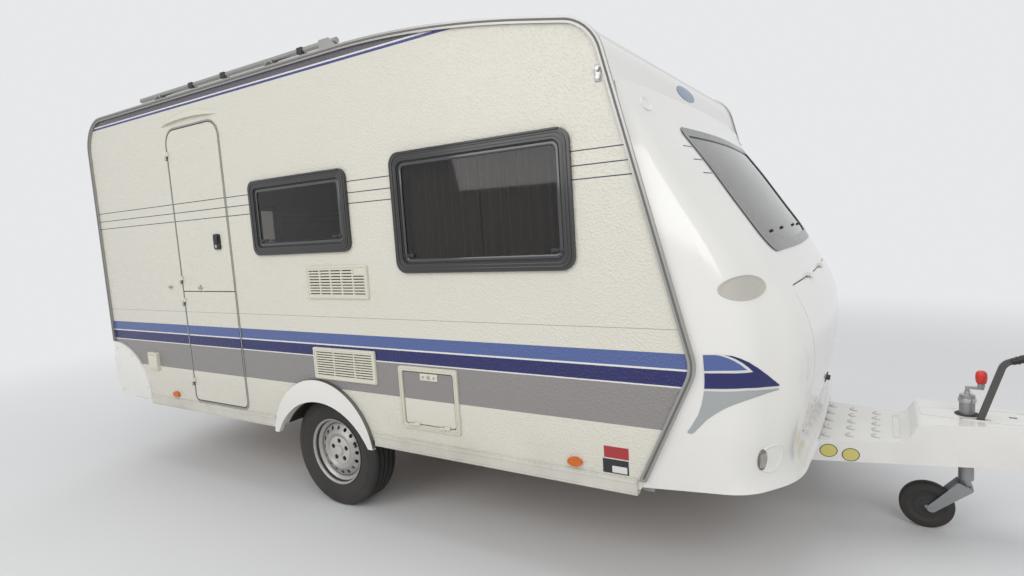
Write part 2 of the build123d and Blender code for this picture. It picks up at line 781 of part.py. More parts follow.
bracket_rear = jockey_station - 60
bracket_front = jockey_station + 35
bracket_plan = Polygon((bracket_rear, beam_inner(bracket_rear)), (bracket_front, beam_inner(bracket_front)),
                       (bracket_front, -beam_inner(bracket_front)), (bracket_rear, -beam_inner(bracket_rear)),
                       align=None)
bracket = upward(bracket_plan, 420, 450)
bracket -= block((lever_base - 20, lever_side - 1, 400), (lever_base + 40, lever_side + lever_thick, 500))
bracket -= pillar(jockey_tube_radius, 300, 700, jockey_station, 0)
jockey_tube = pillar(jockey_tube_radius, jockey_swivel_height, 660, jockey_station, 0)
crank = pillar(8, 660, 690, jockey_station, 0) + block((jockey_station - 8, -8, 690), (jockey_station + 60, 8, 700)) + pillar(14, 700, 770, jockey_station + 50, 0)
save("jockey_tube", bracket + jockey_tube + crank)

# Jockey fork swivels about the tube; the wheel trails behind it
fork_stem = pillar(20, jockey_swivel_height - 40, jockey_swivel_height - running_gap, jockey_station, 0)
axle_at = (jockey_station - jockey_trail, jockey_wheel_radius)
cheek_face = outline((axle_at[0] - 22, axle_at[1] - 22, 18), (axle_at[0] + 26, axle_at[1] - 22, 18),
                     (jockey_station + 30, jockey_swivel_height - 40, 8), (jockey_station - 30, jockey_swivel_height - 10, 8))
cheek_side = jockey_wheel_width / 2 + move_gap
cheeks = both_sides(across(cheek_face, cheek_side, cheek_side + 6))
crown = block((jockey_station - 26, -cheek_side, jockey_swivel_height - 46), (jockey_station + 26, cheek_side, jockey_swivel_height - 34))
pin = shaft(9, -cheek_side, cheek_side, *axle_at)
fork = fork_stem + crown + cheeks[0] + cheeks[1] + pin
save("jockey_fork", fork)
jockey_section = outline((9 + hub_gap, -jockey_wheel_width / 2, 0), (60, -jockey_wheel_width / 2 + 6, 0), (80, -jockey_wheel_width / 2, 8), (jockey_wheel_radius, -22, 16),
                         (jockey_wheel_radius, 22, 16), (80, jockey_wheel_width / 2, 8), (60, jockey_wheel_width / 2 - 6, 0), (9 + hub_gap, jockey_wheel_width / 2, 0))
save("jockey_wheel", Pos(axle_at[0], 0, axle_at[1]) * revolve(Plane.XY * jockey_section, axis=Axis.Y))

# Coupling: draw tube, head with its ball socket, and the handbrake lever
draw_tube = Pos(5420, 0, coupling_height) * Rot(0, 90, 0) * Cylinder(draw_tube_radius, 350, align=(Align.CENTER, Align.CENTER, Align.MIN))
head_outline = outline((5760, 400, 8), (coupling_tip - 10, 400, 8), (coupling_tip, 412, 6), (coupling_tip, 446, 8),
                       (coupling_tip - 24, 476, 20), (5840, 484, 10), (5760, 456, 8))
head = across(head_outline, -34, 34)
socket = Pos(ball_station, 0, coupling_height) * Sphere(ball_radius) + pillar(ball_radius, 380, coupling_height, ball_station, 0)
head -= socket
save("coupling_head", head + draw_tube)
lever = across(outline((lever_base - 14, 430, 0), (lever_base + 14, 430, 0), (lever_base + 130, 820, 40), (lever_base + 320, 905, 8),
                       (lever_base + 312, 925, 8), (lever_base + 108, 838, 60)), lever_side, lever_side + lever_thick)
lever_pivot = shaft(10, -beam_inner(lever_base) - 12, lever_side, lever_base, 462)
save("handbrake_lever", lever + (lever_pivot - right_side(beam)))

# Corner steadies: folded up below the floor, hinged across the body
# node, pivot station, side, direction of the folded leg
steady_table = [
    ("steady_rear_right", 860.0, -1, -1),
    ("steady_rear_left", 860.0, 1, -1),
    ("steady_front_right", 3650.0, -1, 1),
    ("steady_front_left", 3650.0, 1, 1),
]
steady_side = 700.0
steady_pivot = 420.0
steady_length = 440.0
brackets = []
for node, station, side, way in steady_table:
    foot = station + way * steady_length
    low, high = sorted((station, foot))
    leg = block((low, steady_side - 18, steady_pivot - 14), (high, steady_side + 18, steady_pivot + 14))
    leg += shaft(16, steady_side - 18, steady_side + 18, station, steady_pivot)
    plate_low, plate_high = sorted((foot, foot + way * 10))
    leg += block((plate_low, steady_side - 45, steady_pivot - 40), (plate_high, steady_side + 45, steady_pivot + 30))
    leg -= shaft(7 + hub_gap, steady_side - 60, steady_side + 60, station, steady_pivot)
    save(node, leg if side == 1 else right_side(leg))
    for offset_side in (-30, 24):
        ear = block((station - 22, steady_side + offset_side, steady_pivot - 20), (station + 22, steady_side + offset_side + 6, floor_bottom))
        brackets.append(ear if side == 1 else right_side(ear))
    pin = shaft(7, steady_side - 24, steady_side + 24, station, steady_pivot)
    brackets.append(pin if side == 1 else right_side(pin))
save("steady_brackets", *brackets)

print("frame station", frame_station)
print("axle", axle_station - frame_station, "wheel side", wheel_middle, "jockey", jockey_station - frame_station)
print("lid axis", lid_axis, "station", lid_axis[0] - frame_station)
print("jockey axle", axle_at[0] - frame_station, axle_at[1])
print("door hinge", hinge_station - frame_station, -hinge_side)
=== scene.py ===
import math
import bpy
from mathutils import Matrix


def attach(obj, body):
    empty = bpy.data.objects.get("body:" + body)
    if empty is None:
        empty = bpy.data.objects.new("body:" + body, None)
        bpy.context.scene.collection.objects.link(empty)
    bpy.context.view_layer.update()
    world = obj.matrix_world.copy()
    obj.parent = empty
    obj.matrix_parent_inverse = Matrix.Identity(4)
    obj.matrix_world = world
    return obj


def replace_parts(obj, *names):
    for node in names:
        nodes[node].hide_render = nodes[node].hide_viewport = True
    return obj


bl_info = {
    "name": "Travel caravan dresser",
    "version": (1, 0, 0),
    "blender": (4, 5, 0),
    "location": "View3D > Sidebar > Caravan",
    "description": "Gives a packed touring caravan its finishes and its small fittings",
    "category": "Object",
}

import bmesh
import bpy
from bpy.props import FloatProperty, FloatVectorProperty, IntProperty, PointerProperty
from mathutils import Matrix, Vector
from mathutils.bvhtree import BVHTree

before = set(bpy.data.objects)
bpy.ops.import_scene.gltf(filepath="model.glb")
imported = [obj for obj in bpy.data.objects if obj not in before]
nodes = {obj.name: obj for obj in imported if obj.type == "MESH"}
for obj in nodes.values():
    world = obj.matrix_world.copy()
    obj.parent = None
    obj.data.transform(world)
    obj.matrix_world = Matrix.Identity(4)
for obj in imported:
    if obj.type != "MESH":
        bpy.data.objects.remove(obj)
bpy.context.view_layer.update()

# Places are in metres: station forward of the rear wall, side to the left, height above the ground.
FRAME_STATION = 2.945
WALL = 1.125
SIDES = ((1, "left"), (-1, "right"))
RISE = Vector((0.0, 0.0, 1.0))
REARWARD = Vector((-1.0, 0.0, 0.0))
AXLE_STATION = 2.262
AXLE = Vector((AXLE_STATION - FRAME_STATION, 0.972, 0.322))
BACKDROP = (0.80, 0.81, 0.82, 1.0)


def at(station, side, height):
    """A place in the row frame from a station, a side and a height."""
    return Vector((station - FRAME_STATION, side, height))


def behind(side, station, height):
    """The same place for a shape drawn on the rear wall, whose depths are stations."""
    return at(station, side, height)


def on_wall(side, *lifts):
    """Sides at some lifts off a side wall, or stations off the rear wall where side is 0."""
    return [side * (WALL + lift) if side else -lift for lift in lifts]


def around(middle, half):
    """The two ends of a length about its middle."""
    return middle - half, middle + half


class CaravanFinish(bpy.types.PropertyGroup):
    """Colours and texture sizes of the body."""

    wall_colour: FloatVectorProperty(
        name="Wall", description="Painted sheet of the walls", subtype="COLOR", size=4,
        default=(0.68, 0.655, 0.565, 1.0), min=0.0, max=1.0)
    moulding_colour: FloatVectorProperty(
        name="Mouldings", description="Gloss mouldings of nose, arches and drawbar", subtype="COLOR", size=4,
        default=(0.78, 0.765, 0.72, 1.0), min=0.0, max=1.0)
    plastic_colour: FloatVectorProperty(
        name="Fittings", description="Cream plastic of vents and flap frame", subtype="COLOR", size=4,
        default=(0.66, 0.64, 0.53, 1.0), min=0.0, max=1.0)
    upper_stripe: FloatVectorProperty(
        name="Upper stripe", description="Light blue stripe", subtype="COLOR", size=4,
        default=(0.075, 0.115, 0.30, 1.0), min=0.0, max=1.0)
    middle_stripe: FloatVectorProperty(
        name="Middle stripe", description="Dark blue stripe", subtype="COLOR", size=4,
        default=(0.010, 0.013, 0.105, 1.0), min=0.0, max=1.0)
    lower_stripe: FloatVectorProperty(
        name="Lower stripe", description="Grey stripe", subtype="COLOR", size=4,
        default=(0.25, 0.235, 0.225, 1.0), min=0.0, max=1.0)
    roof_band: FloatVectorProperty(
        name="Roof band", description="Dark band along the top of the walls", subtype="COLOR", size=4,
        default=(0.105, 0.095, 0.115, 1.0), min=0.0, max=1.0)
    pebble_scale: FloatProperty(
        name="Pebbles", description="Embossed pebbles to a metre of wall", default=85.0, min=20.0, max=300.0)
    pebble_depth: FloatProperty(
        name="Pebble depth", description="Height of the embossing", default=0.0018, min=0.0, max=0.005,
        subtype="DISTANCE", unit="LENGTH")


class CaravanFittings(bpy.types.PropertyGroup):
    """Sizes of the small fittings."""

    pleat_depth: FloatProperty(
        name="Pleat depth", description="How far a curtain's folds stand out", default=0.007, min=0.001,
        max=0.02, subtype="DISTANCE", unit="LENGTH")
    pleats: IntProperty(
        name="Pleats", description="Folds in one curtain", default=9, min=2, max=40)
    groove_depth: FloatProperty(
        name="Tread grooves", description="Depth of the tyres' grooves", default=0.008, min=0.002, max=0.015,
        subtype="DISTANCE", unit="LENGTH")
    bolt_circle: FloatProperty(
        name="Bolt circle", description="Radius of the wheel bolts' circle", default=0.056, min=0.04,
        max=0.08, subtype="DISTANCE", unit="LENGTH")
    vent_columns: IntProperty(
        name="Vent columns", description="Columns of slots in the upper vent", default=5, min=1, max=12)


class CaravanStage(bpy.types.PropertyGroup):
    """Floor, light and camera."""

    floor_colour: FloatVectorProperty(
        name="Floor", description="Floor and backdrop", subtype="COLOR", size=4,
        default=(0.74, 0.74, 0.73, 1.0), min=0.0, max=1.0)
    lens: FloatProperty(
        name="Lens", description="Focal length on a 36 mm sensor", default=21.0938, min=10.0, max=100.0,
        unit="CAMERA")
    lamp_power: FloatProperty(
        name="Lamps", description="Power of the large soft lamps", default=150.0, min=0.0, max=2000.0)
    sky: FloatProperty(
        name="Sky", description="Strength of the even light from all round", default=0.62, min=0.0, max=2.0)


# Shader nodes

def feed(tree, node, values):
    """Sets a node's inputs; a value may be another node's output."""
    for key, value in values.items():
        if isinstance(value, bpy.types.NodeSocket):
            tree.links.new(value, node.inputs[key])
        else:
            node.inputs[key].default_value = value
    return node


def put(tree, kind, values=None, **settings):
    """Adds a shader node."""
    node = tree.nodes.new(kind)
    for name, value in settings.items():
        setattr(node, name, value)
    return feed(tree, node, values or {})


def sum_of(tree, operation, first, second=0.0):
    """Output of one Math node."""
    return put(tree, "ShaderNodeMath", {0: first, 1: second}, operation=operation).outputs[0]


def vector_of(tree, operation, first, second=(0.0, 0.0, 0.0), **values):
    """Output of one Vector Math node."""
    return put(tree, "ShaderNodeVectorMath", {0: first, 1: second, **values}, operation=operation).outputs[0]


def noise(tree, place, scale, detail=2.0, **values):
    """Outputs of a Noise Texture."""
    values = {"Vector": place, "Scale": scale, "Detail": detail, **values}
    return put(tree, "ShaderNodeTexNoise", values).outputs


def remap(tree, value, start, end, low=0.0, high=1.0, **settings):
    """A value's range between start and end, stretched from low to high."""
    return put(tree, "ShaderNodeMapRange", {"Value": value, "From Min": start, "From Max": end, "To Min": low,
                                            "To Max": high}, **settings).outputs[0]


def height_in(tree, place):
    """Third coordinate of a place."""
    return put(tree, "ShaderNodeSeparateXYZ", {0: place}).outputs[2]


def blend_colours(tree, share, first, second):
    """Output of one colour Mix node; a colour is three numbers or another node's output."""
    first, second = (colour if isinstance(colour, bpy.types.NodeSocket) else (*colour, 1.0)
                     for colour in (first, second))
    return put(tree, "ShaderNodeMix", {0: share, 6: first, 7: second}, data_type="RGBA").outputs[2]


def shows_backdrop(tree):
    """Mask that is 1 for camera, glossy and transmission rays, which see the backdrop as it is."""
    path = put(tree, "ShaderNodeLightPath").outputs
    bounced = sum_of(tree, "MAXIMUM", path["Is Glossy Ray"], path["Is Transmission Ray"])
    return sum_of(tree, "MAXIMUM", path["Is Camera Ray"], bounced)


def between(tree, value, low, high):
    """Mask that is 1 where a value lies between two limits."""
    return sum_of(tree, "MULTIPLY", sum_of(tree, "GREATER_THAN", value, low),
                  sum_of(tree, "LESS_THAN", value, high))


effects = {}
finishes = {}


def effect(name, outputs, **values):
    """A new group that takes a place and some values; returns its tree and its inner inputs."""
    tree = effects[name] = bpy.data.node_groups.new(name, "ShaderNodeTree")
    tree.interface.new_socket("Vector", in_out="INPUT", socket_type="NodeSocketVector")
    for label, default in values.items():
        socket = tree.interface.new_socket(label, in_out="INPUT", socket_type="NodeSocketFloat")
        socket.default_value = default
    for label in outputs:
        tree.interface.new_socket(label, in_out="OUTPUT", socket_type="NodeSocketFloat")
    return tree, put(tree, "NodeGroupInput").outputs


def make_pebble_effect():
    """Embossed pebbles of hammered sheet."""
    tree, source = effect("pebble_emboss", ["Height"], Scale=85.0)
    warp = vector_of(tree, "SUBTRACT", noise(tree, source[0], 26.0, 1.0)["Color"], (0.5, 0.5, 0.5))
    moved = vector_of(tree, "ADD", source[0], vector_of(tree, "SCALE", warp, Scale=0.012))
    cells = put(tree, "ShaderNodeTexVoronoi", {"Vector": moved, "Scale": source[1], "Smoothness": 0.45},
                feature="SMOOTH_F1")
    domes = remap(tree, cells.outputs["Distance"], 0.05, 0.62, 1.0, 0.0, interpolation_type="SMOOTHSTEP")
    put(tree, "NodeGroupOutput", {0: domes})


def make_weather_effect():
    """Slow change of tone and gloss, with fine specks and splashed dirt near the ground."""
    tree, source = effect("weather_film", ["Tone", "Gloss", "Low Dirt"], Scale=2.0, Amount=0.06)
    place, scale, amount = source[0], source[1], source[2]
    broad = noise(tree, place, scale, 4.0, Roughness=0.6)[0]
    mixed = sum_of(tree, "ADD", sum_of(tree, "MULTIPLY", broad, 0.75),
                   sum_of(tree, "MULTIPLY", noise(tree, place, 90.0)[0], 0.25))
    centred = sum_of(tree, "SUBTRACT", mixed, 0.5)
    splash = sum_of(tree, "MULTIPLY", remap(tree, height_in(tree, place), 0.75, 0.35),
                    remap(tree, broad, 0.38, 0.7, 0.15))
    put(tree, "NodeGroupOutput", {
        0: sum_of(tree, "ADD", sum_of(tree, "MULTIPLY", centred, amount), 1.0),
        1: sum_of(tree, "MULTIPLY", centred, sum_of(tree, "MULTIPLY", amount, 2.0)),
        2: splash})


def make_grain_effect():
    """Fine moulded grain or a cast surface."""
    tree, source = effect("surface_grain", ["Height"], Scale=400.0)
    put(tree, "NodeGroupOutput", {0: noise(tree, source[0], source[1], 3.0, Roughness=0.55)[0]})


def make_weave_effect():
    """Plain weave of warp and weft threads."""
    tree, source = effect("plain_weave", ["Height"], Threads=900.0)
    warp, weft = (put(tree, "ShaderNodeTexWave", {"Vector": source[0], "Scale": source[1], "Distortion": 0.4},
                      bands_direction=way).outputs[1] for way in "XZ")
    put(tree, "NodeGroupOutput", {0: sum_of(tree, "MAXIMUM", warp, weft)})


def make_wood_effect():
    """Long wavy grain of a furniture board."""
    tree, source = effect("board_grain", ["Grain"])
    stretched = put(tree, "ShaderNodeMapping", {0: source[0], "Scale": (1.0, 1.0, 0.12)}).outputs[0]
    put(tree, "NodeGroupOutput", {0: noise(tree, stretched, 34.0, 5.0, Distortion=1.2)[0]})


def use_effect(tree, name, place, **values):
    """Places one of the shared effects in a material; returns its outputs."""
    return put(tree, "ShaderNodeGroup", {"Vector": place, **values}, node_tree=effects[name]).outputs


def start_finish(name, roughness, metallic=0.0, **socket_shade):
    """A new material with its Principled shader and Object coordinates."""
    material = finishes[name] = bpy.data.materials.new(name)
    material.use_nodes = True
    tree = material.node_tree
    shader = feed(tree, tree.nodes["Principled BSDF"], {"Roughness": roughness, "Metallic": metallic})
    feed(tree, shader, {key.replace("_", " "): value for key, value in socket_shade.items()})
    return tree, shader, put(tree, "ShaderNodeTexCoord").outputs["Object"]


def weather(tree, shader, place, colour, roughness, amount=0.06, scale=2.0, dirt=0.0):
    """Feeds a colour and roughness that change a little over the surface."""
    film = use_effect(tree, "weather_film", place, Scale=scale, Amount=amount)
    painted = vector_of(tree, "SCALE", colour, Scale=film["Tone"])
    if dirt:
        share = sum_of(tree, "MULTIPLY", film["Low Dirt"], dirt)
        painted = blend_colours(tree, share, painted, (0.16, 0.14, 0.12))
    feed(tree, shader, {"Base Color": painted, "Roughness": sum_of(tree, "ADD", film["Gloss"], roughness)})


def raise_surface(tree, shader, height, distance, strength):
    """Bump from a height."""
    bump = put(tree, "ShaderNodeBump", {"Height": height, "Distance": distance, "Strength": strength})
    feed(tree, shader, {"Normal": bump.outputs[0]})


def wall_colours(tree, place, finish):
    """Stripes, pinstripes, sheet joint and roof band, by height on the wall."""
    height = height_in(tree, place)
    pale = (0.74, 0.73, 0.69)
    thin = (0.045, 0.05, 0.085)
    colour = finish.wall_colour[:3]
    for low, high, shade in (
            (0.731, 0.905, finish.lower_stripe[:3]),
            (0.905, 0.911, pale),
            (0.911, 0.972, finish.middle_stripe[:3]),
            (0.972, 0.980, pale),
            (0.980, 1.040, finish.upper_stripe[:3]),
            (1.1305, 1.1325, (0.22, 0.21, 0.19)),
            (1.7255, 1.7305, thin),
            (1.7795, 1.7845, thin),
            (1.8375, 1.8425, thin),
            (2.434, 2.447, (0.035, 0.045, 0.20)),
            (2.447, 2.455, pale),
            (2.455, 2.60, finish.roof_band[:3])):
        colour = blend_colours(tree, between(tree, height, low, high), colour, shade)
    return colour


def make_striped_finishes(finish):
    """Hammered wall sheet and the smoother panel of the service flap, with the stripes."""
    for name, roughness, coat, dirt, relief in (
            ("hammered_wall", 0.34, 0.12, 0.35, 0.85),
            ("striped_panel", 0.36, 0.0, 0.3, 0.3)):
        tree, shader, place = start_finish(name, roughness, Coat_Weight=coat, Coat_Roughness=0.12)
        weather(tree, shader, place, wall_colours(tree, place, finish), roughness, amount=0.05, dirt=dirt)
        pebbles = use_effect(tree, "pebble_emboss", place, Scale=finish.pebble_scale)
        raise_surface(tree, shader, pebbles[0], finish.pebble_depth, relief)


def plain(name, colour, roughness, amount, grain, depth, dirt=0.0, metallic=0.0, coat=0.0):
    """A finish of one colour; amount is its change of tone, grain and depth are the relief's."""
    tree, shader, place = start_finish(name, roughness, metallic, Coat_Weight=coat, Coat_Roughness=0.08)
    weather(tree, shader, place, colour, roughness, amount, dirt=dirt)
    raise_surface(tree, shader, use_effect(tree, "surface_grain", place, Scale=grain)[0], depth, 0.5)


def make_plain_finishes(finish):
    """All finishes of one colour with weathering and grain."""
    plain("gloss_moulding", finish.moulding_colour[:3], 0.16, 0.035, 60.0, 0.00015, dirt=0.25, coat=0.35)
    plain("roof_sheet", (0.66, 0.655, 0.62), 0.40, 0.08, 90.0, 0.0006)
    plain("cream_plastic", finish.plastic_colour[:3], 0.42, 0.07, 500.0, 0.0002, dirt=0.35)
    plain("sill_plastic", (0.68, 0.66, 0.58), 0.40, 0.09, 300.0, 0.0002, dirt=0.6)
    plain("charcoal_moulding", (0.030, 0.0285, 0.027), 0.22, 0.2, 220.0, 0.0002, coat=0.25)
    plain("anodised_rail", (0.36, 0.355, 0.34), 0.34, 0.12, 350.0, 0.0001, dirt=0.2, metallic=0.85)
    plain("black_plastic", (0.018, 0.018, 0.019), 0.42, 0.25, 450.0, 0.0003, dirt=0.2)
    plain("galvanised_steel", (0.34, 0.35, 0.36), 0.48, 0.35, 55.0, 0.0004, dirt=0.5, metallic=0.75)
    plain("wheel_paint", (0.44, 0.43, 0.41), 0.36, 0.14, 260.0, 0.0002, dirt=0.35, metallic=0.35, coat=0.1)
    plain("tyre_rubber", (0.017, 0.0165, 0.016), 0.72, 0.35, 380.0, 0.0004, dirt=0.25)
    plain("blank_yellow", (0.62, 0.55, 0.16), 0.45, 0.12, 300.0, 0.0001)
    plain("blank_red", (0.36, 0.03, 0.035), 0.40, 0.12, 300.0, 0.0001)
    plain("blank_black", (0.02, 0.02, 0.022), 0.35, 0.12, 300.0, 0.0001)
    plain("blank_white", (0.66, 0.66, 0.64), 0.40, 0.08, 300.0, 0.0001)
    plain("decal_upper", finish.upper_stripe[:3], 0.30, 0.05, 60.0, 0.0001, coat=0.1)
    plain("decal_middle", finish.middle_stripe[:3], 0.28, 0.05, 60.0, 0.0001, coat=0.1)
    plain("decal_lower", (0.36, 0.375, 0.37), 0.32, 0.05, 60.0, 0.0001, coat=0.1)
    plain("oval_plate", (0.47, 0.45, 0.40), 0.34, 0.2, 180.0, 0.0008)
    plain("bare_steel", (0.48, 0.47, 0.46), 0.30, 0.25, 300.0, 0.0002, metallic=0.9)
    plain("dark_steel", (0.10, 0.097, 0.092), 0.55, 0.4, 160.0, 0.0004, dirt=0.3, metallic=0.6)
    plain("hub_paint", (0.52, 0.51, 0.47), 0.42, 0.3, 140.0, 0.0003, metallic=0.1)
    # Dark grey metal for the arches' edge faces: painted shade and dark reflection of those faces
    plain("arch_edge_shade", (0.20, 0.195, 0.18), 0.34, 0.3, 200.0, 0.0002, dirt=0.3, metallic=0.7)
    plain("rail_inlay", (0.13, 0.125, 0.115), 0.5, 0.3, 300.0, 0.0002, dirt=0.2)
    plain("rubber_seal", (0.022, 0.022, 0.022), 0.62, 0.3, 350.0, 0.0002, dirt=0.2)
    plain("badge_paint", (0.17, 0.23, 0.36), 0.30, 0.25, 120.0, 0.0002, coat=0.2)
    plain("shaded_moulding", (0.56, 0.55, 0.51), 0.25, 0.08, 120.0, 0.0002, coat=0.1)
    plain("pane_edge", (0.035, 0.036, 0.038), 0.06, 0.1, 60.0, 0.0001, coat=0.8)
    plain("dark_moulding", (0.060, 0.058, 0.054), 0.45, 0.3, 250.0, 0.0003)
    plain("ribbed_lens", (0.16, 0.14, 0.11), 0.22, 0.2, 200.0, 0.0002, coat=0.4)
    plain("red_grip", (0.62, 0.035, 0.02), 0.36, 0.12, 300.0, 0.0002, coat=0.1)


def make_board_finish():
    """Furniture board with long grain."""
    tree, shader, place = start_finish("furniture_board", 0.45)
    grain = use_effect(tree, "board_grain", place)[0]
    colour = blend_colours(tree, grain, (0.24, 0.14, 0.075), (0.40, 0.26, 0.15))
    weather(tree, shader, place, colour, 0.45, amount=0.1)
    raise_surface(tree, shader, grain, 0.0003, 0.4)


def make_curtain_finish():
    """Dark pleated cloth with a woven thread."""
    tree, shader, place = start_finish("curtain_cloth", 0.9, Sheen_Weight=0.3, Sheen_Roughness=0.4)
    weather(tree, shader, place, (0.13, 0.118, 0.11), 0.9, amount=0.5, scale=9.0)
    raise_surface(tree, shader, use_effect(tree, "plain_weave", place, Threads=300.0)[0], 0.0003, 0.5)


def make_glass_finishes():
    """Tinted acrylic, clear dome and coloured lenses."""
    for name, colour, roughness, refraction, clear, ripple, depth in (
            # name, colour, roughness, index of refraction, transmission, ripple scale, ripple depth
            ("tinted_acrylic", (0.36, 0.345, 0.33), 0.03, 1.38, 1.0, 3.0, 0.0002),
            ("clear_dome", (0.80, 0.83, 0.85), 0.12, 1.49, 0.85, 30.0, 0.0002),
            ("orange_lens", (0.78, 0.19, 0.015), 0.18, 1.49, 0.25, 200.0, 0.0008),
            ("red_lens", (0.45, 0.01, 0.008), 0.16, 1.49, 0.25, 200.0, 0.0008)):
        tree, shader, place = start_finish(name, roughness, Transmission_Weight=clear, IOR=refraction)
        tone = use_effect(tree, "weather_film", place, Scale=3.0, Amount=0.06)["Tone"]
        feed(tree, shader, {"Base Color": vector_of(tree, "SCALE", colour, Scale=tone)})
        raise_surface(tree, shader, use_effect(tree, "surface_grain", place, Scale=ripple)[0], depth, 0.3)
        if clear > 0.8:
            shadow = put(tree, "ShaderNodeLightPath").outputs["Is Shadow Ray"]
            passed = sum_of(tree, "MULTIPLY", shadow, 0.3)
            feed(tree, shader, {"Alpha": sum_of(tree, "SUBTRACT", 1.0, passed)})


node_finishes = {
    "hammered_wall": ("side_wall_right", "side_wall_left", "rear_wall", "door_upper", "door_lower"),
    "striped_panel": ("service_flap",),
    "roof_sheet": ("roof_panel",),
    "gloss_moulding": ("nose_moulding", "locker_lid", "wheel_arches", "rear_corner_covers", "rear_bumper",
                       "drawbar_cover", "door_hood", "roof_hatch_frame"),
    "cream_plastic": ("vent_grilles", "flap_frame", "power_inlet"),
    "sill_plastic": ("sill_rails",),
    "charcoal_moulding": ("window_frames",),
    "tinted_acrylic": ("window_panes",),
    "clear_dome": ("roof_hatch_dome",),
    "anodised_rail": ("corner_rails", "roof_rails", "door_frame"),
    "furniture_board": ("floor_panel", "front_bulkhead", "cabinets", "seat_boxes"),
    "galvanised_steel": ("chassis_rails", "cross_members", "axle", "coupling_head", "jockey_fork",
                         "jockey_tube", "steady_brackets", "steady_rear_right", "steady_rear_left",
                         "steady_front_right", "steady_front_left"),
    "black_plastic": ("wheel_housings", "door_handle"),
    "dark_steel": ("handbrake_lever",),
    "tyre_rubber": ("jockey_wheel",),
    "wheel_paint": ("rim_left", "rim_right"),
    "red_lens": ("rear_lamps",),
    "orange_lens": ("side_markers",),
}


# Outlines

def filleted(corners, steps=8):
    """Points of a closed outline through corners given as x, z and radius."""
    points = []
    for index, (x, z, radius) in enumerate(corners):
        here = Vector((x, z))
        if not radius:
            points.append((x, z))
            continue
        before = (Vector(corners[index - 1][:2]) - here).normalized()
        after = (Vector(corners[(index + 1) % len(corners)][:2]) - here).normalized()
        half = before.angle(after) / 2
        middle = here + (before + after).normalized() * (radius / math.sin(half))
        start = here + before * (radius / math.tan(half)) - middle
        end = here + after * (radius / math.tan(half)) - middle
        sweep = start.angle_signed(end)
        for step in range(steps + 1):
            turned = start.copy()
            turned.rotate(Matrix.Rotation(-sweep * step / steps, 2))
            points.append(tuple(middle + turned))
    return points


def rounded(opening, inset, radius, steps=6):
    """Outline inside an opening (rear, front, bottom, top), drawn in by an inset, with round corners."""
    rear, front, bottom, top = opening
    corners = ((front - inset, top - inset), (rear + inset, top - inset), (rear + inset, bottom + inset),
               (front - inset, bottom + inset))
    return filleted([(x, z, radius) for x, z in corners], steps)


def arc(centre, reach, angles):
    """Points about a centre at a reach of one or two half sizes."""
    return [(centre[0] + reach[0] * math.cos(angle), centre[1] + reach[-1] * math.sin(angle))
            for angle in angles]


def shifted(points, distance, closed=True):
    """A chain of points moved sideways by a distance, to the right of its direction."""
    moved = []
    last = len(points) - 1
    for index, point in enumerate(points):
        before = points[index - 1] if closed or index else point
        after = points[(index + 1) % len(points)] if closed or index < last else point
        along = (Vector(after) - Vector(before)).normalized()
        moved.append((point[0] + along.y * distance, point[1] - along.x * distance))
    return moved


# Shapes

def skin_of(name):
    """Ray tree of a CAD node, for fittings that follow a curved surface."""
    bm = bmesh.new()
    bm.from_mesh(nodes[name].data)
    tree = BVHTree.FromBMesh(bm)
    bm.free()
    return tree


def dropped(skin, point, direction, lift):
    """Where a point meets a surface along a direction, lifted off it."""
    place, normal, _, _ = skin.ray_cast(point - 1.5 * direction, direction)
    if place is None:
        raise RuntimeError("a fitting misses its surface at %s" % (point,))
    return place + lift * (normal if normal.dot(direction) < 0.0 else -normal)


def those(kind, items):
    """The verts or the faces among an operator's results."""
    return [item for item in items if isinstance(item, kind)]


